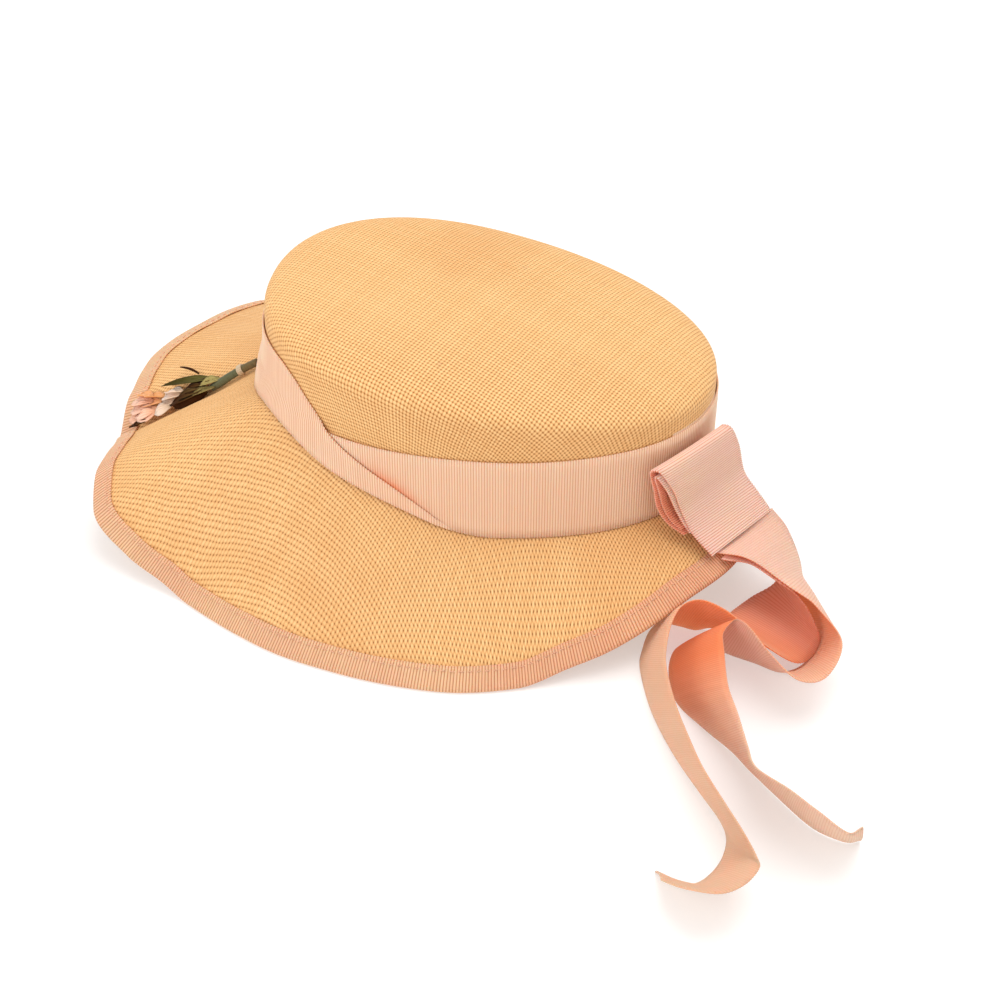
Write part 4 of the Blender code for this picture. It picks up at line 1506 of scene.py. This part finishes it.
@dataclass
class Binding:
    """The ribbon folded over the brim's edge, with its line of stitches."""

    depth: float = 8.8
    arm_steps: int = 6
    arm_out: float = 1.1
    roll: float = 1.15
    edge_out: float = 0.35
    fold_angles: tuple[float, ...] = (55.0, 20.0, -20.0, -55.0)
    ripple: float = 0.12
    ripples: int = 41
    loose: float = 0.1
    measured: float = 0.2
    edge_steps: int = 1800
    stitch_in: float = 2.2
    stitch: float = 2.2
    stitch_gap: float = 1.5
    stitch_radius: float = 0.22
    stitch_steps: int = 8
    stitch_sides: int = 6
    stitch_lift: tuple[float, ...] = (-0.18, 0.15, 0.24, 0.24, 0.15, -0.18)
    cording: Cording = Cording(pitch=1.29, thickness=0.74, rib=0.08, scallop=0.1)
    cloth: CordedRibbon = CordedRibbon(
        "binding_ribbon",
        pitch=1.29,
        light=(0.78, 0.47, 0.295),
        groove_shade_and_tone=(0.66, 0.46, 0.36),
        faded=(0.80, 0.52, 0.31),
        rosy=(0.82, 0.53, 0.31),
    )
    thread: PlainThread = PlainThread("stitch_thread", (0.90, 0.55, 0.38), (0.60, 0.28, 0.16))

    def angles(self, count: int = 0) -> Array:
        """Angles at even steps of the brim's edge.

        Args:
            count: how many, or 0 for the cords of the ribbon.

        Returns:
            The angles, in radians.
        """
        dense, run = self.edge(2 * self.edge_steps)
        rows = count or self.cording.rows_for(run[-1], True)
        return np.interp(np.arange(rows) * run[-1] / rows, run, dense)

    def edge(self, count: int) -> tuple[Array, Array]:
        """Angles once round the brim's edge, and the distance along it at each."""
        dense = np.append(crowded_angles(count), WHOLE_TURN)
        return dense, run_of(FORM.brim(dense, 1.0))

    def width(self, angle: Array) -> Array:
        """Width of the brim, measured near its edge."""
        ring = FORM.brim(angle, 1.0) - FORM.brim(angle, 1.0 - self.measured)
        return np.linalg.norm(ring, axis=-1) / self.measured

    def mesh(self) -> Shell:
        """Build the folded ribbon, from the upper arm's inner edge round to the lower one's.

        Returns:
            The mesh.
        """
        angle = self.angles()
        width = self.width(angle)
        upper, lower = [], []
        for step in np.linspace(1, 0, self.arm_steps):
            share = 1 - step * self.depth / width
            place = FORM.brim(angle, share)
            _, up = square_to(FORM.brim, angle, share)
            ripple = self.ripple * np.sin(angle * self.ripples + 1.3)
            ease = ripple * step**2 + self.loose * step**4
            upper.append(place + up * (self.arm_out + ease)[:, None])
            lower.append(place - up * (self.arm_out + ease)[:, None])
        edge = FORM.brim(angle, 1.0)
        out, up = square_to(FORM.brim, angle, np.ones_like(angle))
        fold = []
        for turn in np.radians(self.fold_angles):
            rise = self.roll * math.sin(turn)
            fold.append(edge + (out * (self.edge_out + self.roll * math.cos(turn)) + up * rise))
        mid = np.stack([*upper, *fold, *lower[::-1]], axis=1)
        return self.cording.strip(mid, closed=True)

    def stitches(self) -> Shell:
        """Build the stitches on both faces of the binding.

        Returns:
            The mesh.
        """
        count = round(self.edge(self.edge_steps)[1][-1] / (self.stitch + self.stitch_gap))
        fine = self.angles(count * self.stitch_steps)
        share = 1 - (self.depth - self.stitch_in) / self.width(fine)
        place = FORM.brim(fine, share)
        _, up = square_to(FORM.brim, fine, share)
        along = unit(np.roll(place, -1, axis=0) - np.roll(place, 1, axis=0))
        side = unit(np.cross(up, along))
        rings = len(self.stitch_lift)
        at = (np.arange(count)[:, None] * self.stitch_steps + np.arange(rings)).ravel() % len(fine)
        stand_out = self.arm_out + self.cording.thickness / 2 + np.tile(self.stitch_lift, count)
        turns = WHOLE_TURN * np.arange(self.stitch_sides) / self.stitch_sides
        sizes = (turns, self.stitch_radius, self.stitch_radius)
        points = [
            tube_points(place[at] + up[at] * (sign * stand_out)[:, None], side[at], up[at], *sizes)
            for sign in (1, -1)
        ]
        size = rings * self.stitch_sides
        faces = grid_faces(rings, self.stitch_sides)
        every = [tuple(i + size * n for i in face) for n in range(2 * count) for face in faces]
        run = np.tile(np.linspace(0, self.stitch, rings), 2 * count)
        return Shell(np.concatenate(points), every, tube_cloth(run, self.stitch_sides))

    def dress(self) -> None:
        """Make the binding and its stitches."""
        shell = self.mesh()
        # The far side is paler, with fainter painted shade in the grooves between its cords, and
        # the near side has painted shade that deepens toward the back
        far = np.clip((10 - shell.points[:, 0]) / 45, 0, 1)
        back = np.clip((shell.points[:, 1] - 10) / 60, 0, 1)
        shell.marks["rosy"] = far
        shell.marks["deep"] = 0.2 * back * (1 - far)
        shell.marks["ribs"] = 1 - 0.6 * far
        piece = make_piece("edge_binding", shell, self.cloth, ["brim_binding"])
        seam = make_piece("binding_stitches", self.stitches(), self.thread)
        flat = (BINDING_WIDTH * MM, self.edge(self.edge_steps)[1][-1] * MM)


def grid_faces(rings: int, sides: int) -> list[tuple[int, ...]]:
    """Faces of a tube of rings with closed ends.

    Args:
        rings: number of rings.
        sides: points in each ring.

    Returns:
        The faces.
    """
    faces: list[tuple[int, ...]] = []
    for ring in range(rings - 1):
        for side in range(sides):
            beside = (side + 1) % sides
            here, after = ring * sides, (ring + 1) * sides
            faces.append((here + side, here + beside, after + beside, after + side))
    faces.append(tuple(range(sides))[::-1])
    faces.append(tuple(range((rings - 1) * sides, rings * sides)))
    return faces


def tube_points(
    centres: Array, side: Array, up: Array, turns: Array, wide: Array | float, high: Array | float
) -> Array:
    """Place the points of a tube.

    Args:
        centres: middles of its rings.
        side: unit vectors to the side at each ring.
        up: unit vectors up at each ring.
        turns: angles round it, in radians.
        wide: half-width of each ring.
        high: half-height of each ring.

    Returns:
        The points, ring after ring.
    """
    across = side[:, None] * (wide * np.cos(turns))[..., None]
    above = up[:, None] * (high * np.sin(turns))[..., None]
    return (centres[:, None] + across + above).reshape(-1, 3)


def tube_cloth(run: Array, sides: int) -> Array:
    """Cloth coordinates of a tube: the distance along it and the share of the way round it."""
    round_it = np.tile(np.arange(sides) / sides, len(run))
    return np.stack([np.repeat(run, sides), round_it], axis=-1)


def side_and_up(ahead: Array) -> tuple[Array, Array]:
    """Unit vectors level to the side of a direction and up from it."""
    side = unit(np.cross(ahead, (0, 0, 1)))
    return side, unit(np.cross(side, ahead))


def over_brim(rows: Rows, substeps: int) -> Array:
    """Smooth rows of x, y, lift and sizes, with the lift changed to a height.

    Args:
        rows: the path over the brim.
        substeps: points for each row.

    Returns:
        The rows with heights above the table.
    """
    found = smooth_rows(rows, substeps)
    found[:, 2] += np.array([FORM.brim_top(x, y) for x, y in found[:, :2]])
    return found


def rod(rows: Rows, sides: int = 14, substeps: int = 6, ribs: float = 0.0) -> Shell:
    """Build a solid of oval sections along a path over the brim.

    Args:
        rows: x, y, lift, half-width and half-height.
        sides: points round it.
        substeps: points for each row.
        ribs: depth of its lengthwise ridges, as a share.

    Returns:
        The mesh.
    """
    path = over_brim(rows, substeps)
    centres = path[:, :3]
    side, up = side_and_up(np.gradient(centres, axis=0))
    turns = WHOLE_TURN * (np.arange(sides) + 0.5) / sides
    ridge = 1 + ribs * np.cos(turns * 5)
    points = tube_points(centres, side, up, turns, path[:, 3:4] * ridge, path[:, 4:5] * ridge)
    faces = [face[::-1] for face in grid_faces(len(path), sides)]
    shell = Shell(points, faces, tube_cloth(run_of(centres), sides))
    shell.marks = {"tint": np.zeros(len(points)), "pale": np.ones(len(points))}
    return shell


@dataclass(frozen=True)
class Petal:
    """One curved petal or leaf: where it starts, where it points, its size and its bends."""

    start: tuple[float, float, float]
    toward: tuple[float, float, float]
    length: float
    width: float
    cup: float = 0.25
    bend: float = -0.2
    ruffle: float = 0.12
    roll: float = 0.0
    tint: float = 0.0
    pale: float = 1.0
    # Shares of its length where it is widest and where it would end in a point, and share of its
    # width where it starts
    broad: float = 0.62
    end: float = 1.03
    root: float = 0.22
    thickness: float = 0.3

    def mesh(self) -> Shell:
        """Build the petal, its start lifted from the brim's upper face.

        Returns:
            The mesh.
        """
        x, y, lift = self.start
        start = np.array([x, y, FORM.brim_top(x, y) + lift])
        ahead = unit(np.array(self.toward, float))
        level, square = side_and_up(ahead)
        turn = math.radians(self.roll)
        side = level * math.cos(turn) + square * math.sin(turn)
        up = square * math.cos(turn) - level * math.sin(turn)
        # Each petal is ruffled in its own way, by where it starts
        phase = 12.9898 * x + 78.233 * y
        u = np.linspace(0, 1, 17)[:, None]
        v = np.linspace(-1, 1, 13)[None, :]
        opening = np.sin(np.clip(u / self.broad, 0, 1) * math.pi / 2) ** 1.3
        swell = np.where(
            u < self.broad,
            self.root + (1 - self.root) * opening,
            np.sqrt(np.clip(1 - ((u - self.broad) / (self.end - self.broad)) ** 2, 0.01, 1)),
        )
        across = swell * v * self.width / 2
        rise = self.cup * v**2 * swell * self.width / 2 + self.bend * self.length * u**2
        rise = rise + self.ruffle * self.width / 2 * np.sin(5 * v + 3 * u + phase) * u**1.5
        run = self.length * (u - 0.12 * v**2 * u**2 + 0.025 * np.sin(6 * v + phase) * u**3)
        mid = start + run[..., None] * ahead + across[..., None] * side + rise[..., None] * up
        half = np.full(mid.shape[:2], self.thickness / 2)
        cloth = np.stack([np.broadcast_to(u, run.shape), np.broadcast_to(v, run.shape)], axis=-1)
        shell = shell_of(mid, half, cloth)
        whole = np.ones(len(shell.points))
        shell.marks = {"tint": whole * self.tint, "pale": whole * self.pale}
        return shell


def bunch(petals: Sequence[Petal]) -> Shell:
    """Put several petals into one mesh.

    Args:
        petals: the petals.

    Returns:
        The mesh.
    """
    whole = petals[0].mesh()
    for petal in petals[1:]:
        whole = whole.join(petal.mesh())
    return whole


@dataclass
class Spray:
    """The flower spray in the front valley."""

    # Rods: x, y, lift above the brim, half-width, half-height
    stem_rows: Rows = (
        (-3, -104.6, 3.7, 1.7, 1.7), (-2, -110, 4.0, 1.7, 1.7), (-1, -116, 4.0, 1.7, 1.7),
        (0, -121, 3.6, 1.8, 1.8), (0.5, -125, 3.4, 1.6, 1.6),
    )
    tie_at: float = -112.0
    tie_at: float = -112.0
    tie_turns: int = 3
    tie_steps: int = 24
    tie_sides: int = 8
    tie_length: float = 2.4
    tie_radius: float = 0.48
    tie_out: float = 0.35
    calyx_rows: Rows = (
        (1, -127.6, 3.2, 1.0, 1.0), (2, -130, 3.6, 2.4, 1.8), (3.5, -134, 4.0, 3.2, 2.2),
        (3.5, -138, 4.4, 3.4, 2.2), (3.0, -141.5, 4.6, 2.2, 1.4),
    )
    # Olive and brown leaflets folded round the calyx
    calyx: tuple[Petal, ...] = (
        Petal((-0.5, -121.0, 5.0), (-0.04, -0.86, -0.44), 11.5, 7.0, 0.4, 0.0, 0.05, tint=1.0),
        Petal((2.6, -123.0, 3.6), (0.10, -0.86, -0.42), 12.0, 5.0, 0.4, 0.0, 0.05, tint=0.7),
        Petal((-2.0, -127.5, 5.0), (-0.22, -0.86, -0.42), 12.5, 7.0, 0.4, 0.0, 0.08),
        Petal((0.0, -128.5, 5.8), (-0.04, -0.86, -0.46), 12.5, 7.0, 0.4, 0.0, 0.08),
        Petal((2.0, -129.0, 5.6), (0.08, -0.86, -0.48), 14.0, 7.0, 0.4, 0.0, 0.08, tint=0.08),
        Petal((4.6, -130.0, 4.6), (0.12, -0.86, -0.48), 15.0, 6.4, 0.4, 0.0, 0.08),
    )
    sprig_rows: Rows = (
        (-10.5, -134.8, 3.0, 0.5, 0.5), (-12.5, -138.5, 4.0, 0.6, 0.6),
        (-15.0, -142.5, 4.0, 0.6, 0.5), (-18.0, -146, 3.0, 0.3, 0.3),
    )
    wrap: DyedCloth = DyedCloth(
        "stem_wrap",
        (0.10, 0.10, 0.05), (0.13, 0.135, 0.07), (0.06, 0.06, 0.03), (0.17, 0.12, 0.05),
    )
    tie: PlainThread = PlainThread("tie_thread", (0.80, 0.68, 0.50), (0.50, 0.36, 0.22), 0.8)
    green: DyedCloth = DyedCloth(
        "green_leaf",
        (0.14, 0.12, 0.03), (0.06, 0.045, 0.006), (0.03, 0.025, 0.006), (0.30, 0.27, 0.10),
        shine=0.08,
    )
    brown: DyedCloth = DyedCloth(
        "brown_leaf",
        (0.11, 0.055, 0.015), (0.055, 0.018, 0.005), (0.03, 0.010, 0.004), (0.42, 0.34, 0.12),
        shine=0.06,
    )
    white: DyedCloth = DyedCloth(
        "white_petal",
        (0.78, 0.55, 0.36), (0.90, 0.76, 0.66), (0.86, 0.62, 0.52), (0.90, 0.60, 0.48),
    )
    pink: DyedCloth = DyedCloth(
        "pink_petal",
        (0.82, 0.40, 0.22), (0.90, 0.60, 0.46), (0.90, 0.50, 0.36), (0.78, 0.34, 0.10),
    )
    white_petals: tuple[Petal, ...] = (
        Petal((-1.6, -139.6, 7.4), (-0.26, -0.86, -0.34), 10.0, 8.6, 0.35, -0.05, 0.06, -12),
        Petal((0.0, -140.4, 7.4), (-0.06, -0.88, -0.34), 9.6, 8.0, 0.4, -0.05, 0.06, pale=0.9),
        Petal((1.6, -141.6, 6.4), (0.04, -0.88, -0.44), 9.0, 6.0, 0.4, -0.05, 0.06, 8, pale=0.75),
        Petal((3.4, -143.4, 5.6), (0.10, -0.88, -0.46), 9.6, 5.8, 0.4, -0.05, 0.06, 14, pale=0.8),
        Petal((5.2, -143.0, 5.0), (0.24, -0.86, -0.44), 8.6, 5.2, 0.4, -0.05, 0.06, 20, pale=0.6),
    )
    pink_petals: tuple[Petal, ...] = (
        Petal((-2.0, -148.5, 8.4), (-0.30, -0.86, -0.30), 12.0, 8.6, 0.3, -0.05, 0.06, -14, 1.0),
        Petal((0.4, -149.0, 8.8), (-0.10, -0.88, -0.36), 12.0, 8.0, 0.3, -0.05, 0.06, 0, 0.85),
        Petal((-3.4, -154.6, 9.0), (-0.42, -0.84, -0.24), 9.6, 7.4, 0.3, -0.05, 0.06, -10, 0.9),
        Petal((-1.0, -153.6, 9.6), (-0.16, -0.90, -0.30), 12.0, 9.0, 0.3, -0.05, 0.08),
        Petal((1.0, -152.6, 9.2), (0.02, -0.90, -0.38), 12.4, 8.8, 0.3, -0.05, 0.08, 8),
        Petal((1.4, -155.0, 9.0), (-0.06, -0.90, -0.40), 9.0, 6.6, 0.4, -0.05, 0.06, 10, pale=0.1),
        Petal((3.2, -150.0, 7.6), (0.12, -0.88, -0.42), 12.0, 8.2, 0.3, -0.05, 0.08, 14),
        Petal((5.0, -149.6, 6.4), (0.26, -0.86, -0.40), 10.6, 7.4, 0.3, -0.05, 0.08, 20, pale=0.9),
        Petal((3.6, -155.4, 7.6), (0.14, -0.88, -0.42), 9.4, 6.8, 0.3, -0.05, 0.08, 16, pale=0.6),
    )
    leaf_long: tuple[Petal, ...] = (
        Petal((-5.2, -126.0, 3.6), (-0.10, -0.90, -0.36), 27.5, 6.0, 0.35, 0.0, 0.04, broad=0.45),
    )
    leaf_short: tuple[Petal, ...] = (
        Petal((-3.6, -123.0, 4.2), (-0.06, -0.86, -0.46), 12.5, 4.0, 0.4, 0.0, 0.08, broad=0.45),
    )
    sepals: tuple[Petal, ...] = (
        Petal((9.2, -152.6, 3.2), (0.02, -0.86, -0.48), 9.0, 4.0, 0.5, 0.0, 0.12, broad=0.5),
        Petal((8.6, -158.0, 3.6), (-0.30, -0.84, -0.50), 6.0, 3.0, 0.4, 0.0, 0.12, broad=0.5),
    )

    def tie_mesh(self) -> Shell:
        """Build the turns of thread round the stem.

        Returns:
            The mesh.
        """
        path = over_brim(self.stem_rows, 12)
        at = int(np.argmin(np.abs(path[:, 1] - self.tie_at)))
        centre, radius = path[at, :3], path[at, 3]
        ahead = unit(path[at + 1, :3] - path[at - 1, :3])
        side, up = side_and_up(ahead)
        count = self.tie_turns * self.tie_steps + 1
        turns = np.linspace(0, self.tie_turns * WHOLE_TURN, count)
        spoke = side * np.cos(turns)[:, None] + up * np.sin(turns)[:, None]
        slide = (turns / turns[-1] - 0.5) * self.tie_length
        line = centre + spoke * (radius + self.tie_out) + ahead * slide[:, None]
        out = unit(np.cross(unit(np.gradient(line, axis=0)), spoke))
        sides = WHOLE_TURN * np.arange(self.tie_sides) / self.tie_sides
        points = tube_points(line, spoke, out, sides, self.tie_radius, self.tie_radius)
        cloth = tube_cloth(run_of(line), self.tie_sides)
        return Shell(points, grid_faces(count, self.tie_sides), cloth)

    def dress(self) -> None:
        """Make every piece of the spray."""
        stem = rod(self.stem_rows)
        stem.marks["tint"] = np.clip((stem.points[:, 1] - self.tie_at) / 2, 0, 1)
        calyx = rod(self.calyx_rows, ribs=0.16).join(bunch(self.calyx))
        parts = (
            ("stem", stem, self.wrap, Slot.STEM, "flower_stem"),
            ("tie", self.tie_mesh(), self.tie, Slot.THREAD, "stem_tie"),
            ("calyx", calyx, self.brown, Slot.BROWN, "flower_calyx"),
            ("long_leaf", bunch(self.leaf_long), self.green, Slot.LEAF, "leaf_long"),
            ("short_leaf", bunch(self.leaf_short), self.brown, Slot.BROWN, "leaf_short"),
            ("sprig", rod(self.sprig_rows, 8), self.brown, Slot.BROWN, "flower_sprig"),
            ("white_petals", bunch(self.white_petals), self.white, Slot.WHITE, "petals_white"),
            ("pink_petals", bunch(self.pink_petals), self.pink, Slot.PINK, "petals_pink"),
            ("sepals", bunch(self.sepals), self.brown, Slot.BROWN, "flower_sepals"),
        )
        for name, shell, cloth, slot, node in parts:
            make_piece(f"spray_{name}", shell, cloth, [node])


@dataclass
class Studio:
    """The table top, the soft lights and the camera."""

    floor: float = 6.0
    floor_level: float = -0.0001
    tiles: int = 4
    azimuth: float = math.radians(102.89)
    elevation: float = 0.64
    distance: float = 1.1
    lens: float = 92.16
    aim: tuple[float, float, float] = (-0.0509, -0.0055, 0.042)
    shift: tuple[float, float] = (0.0085, -0.0605)
    sky: float = 0.75

    def table(self) -> None:
        """Make the table top."""
        steps = np.linspace(-self.floor / 2, self.floor / 2, self.tiles + 1)
        points = [(x, y, self.floor_level) for x in steps for y in steps]
        row = len(steps)
        starts = [r * row + c for r in range(self.tiles) for c in range(self.tiles)]
        faces = [(i, i + row, i + row + 1, i + 1) for i in starts]
        mesh = bpy.data.meshes.new("table_top")
        mesh.from_pydata(points, [], faces)
        mesh.materials.append(finish_of(PaleFloor()))
        stand("table_top", mesh)

    def light(
        self, name: str, place: tuple[float, float, float], size: float, power: float
    ) -> None:
        """Hang a soft light that points at the hat.

        Args:
            name: its name.
            place: where it hangs, in metres.
            size: its side.
            power: its strength in watts.
        """
        data = bpy.data.lights.new(name, "AREA")
        data.shape = "SQUARE"
        data.size = size
        data.energy = power
        made = stand(name, data)
        made.location = place
        x, y, z = np.array(place) - np.array(self.aim)
        lean = math.acos(z / math.sqrt(x * x + y * y + z * z))
        made.rotation_euler = (lean, 0.0, math.atan2(x, -y))

    def camera(self) -> None:
        """Set up the camera."""
        a, e = self.azimuth, self.elevation
        back = np.array([math.sin(a) * math.cos(e), -math.cos(a) * math.cos(e), math.sin(e)])
        data = bpy.data.cameras.new("camera")
        data.sensor_width = 36.0
        data.lens = self.lens
        data.shift_x, data.shift_y = self.shift
        made = stand("camera", data)
        made.location = (np.array(self.aim) + back * self.distance).tolist()
        made.rotation_euler = (math.pi / 2 - e, 0.0, a)
        bpy.context.scene.camera = made

    def dress(self) -> None:
        """Set up the scene."""
        self.camera()
        self.table()
        world = bpy.data.worlds.new("soft_room")
        world.use_nodes = True
        shade = world.node_tree.nodes["Background"]
        shade.inputs["Color"].default_value = (1.0, 0.99, 0.97, 1.0)
        shade.inputs["Strength"].default_value = self.sky
        bpy.context.scene.world = world
        bpy.context.scene.view_settings.view_transform = "Standard"
        self.light("overhead", (-0.2, 0.25, 1.5), 1.2, 13.6)
        self.light("front_fill", (1.1, -0.7, 0.9), 1.0, 8.0)


def main() -> None:
    """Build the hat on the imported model, then the studio round it."""
    logging.basicConfig(level=logging.INFO, format="%(name)s %(message)s")
    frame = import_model()
    log.info("frame holds %d nodes", len(frame["nodes"]))
    for part in (Crown(), Brim(), Binding(), Bands(), Bow(), *STREAMERS, Spray(), Studio()):
        part.dress()


if __name__ == "__main__":
    main()
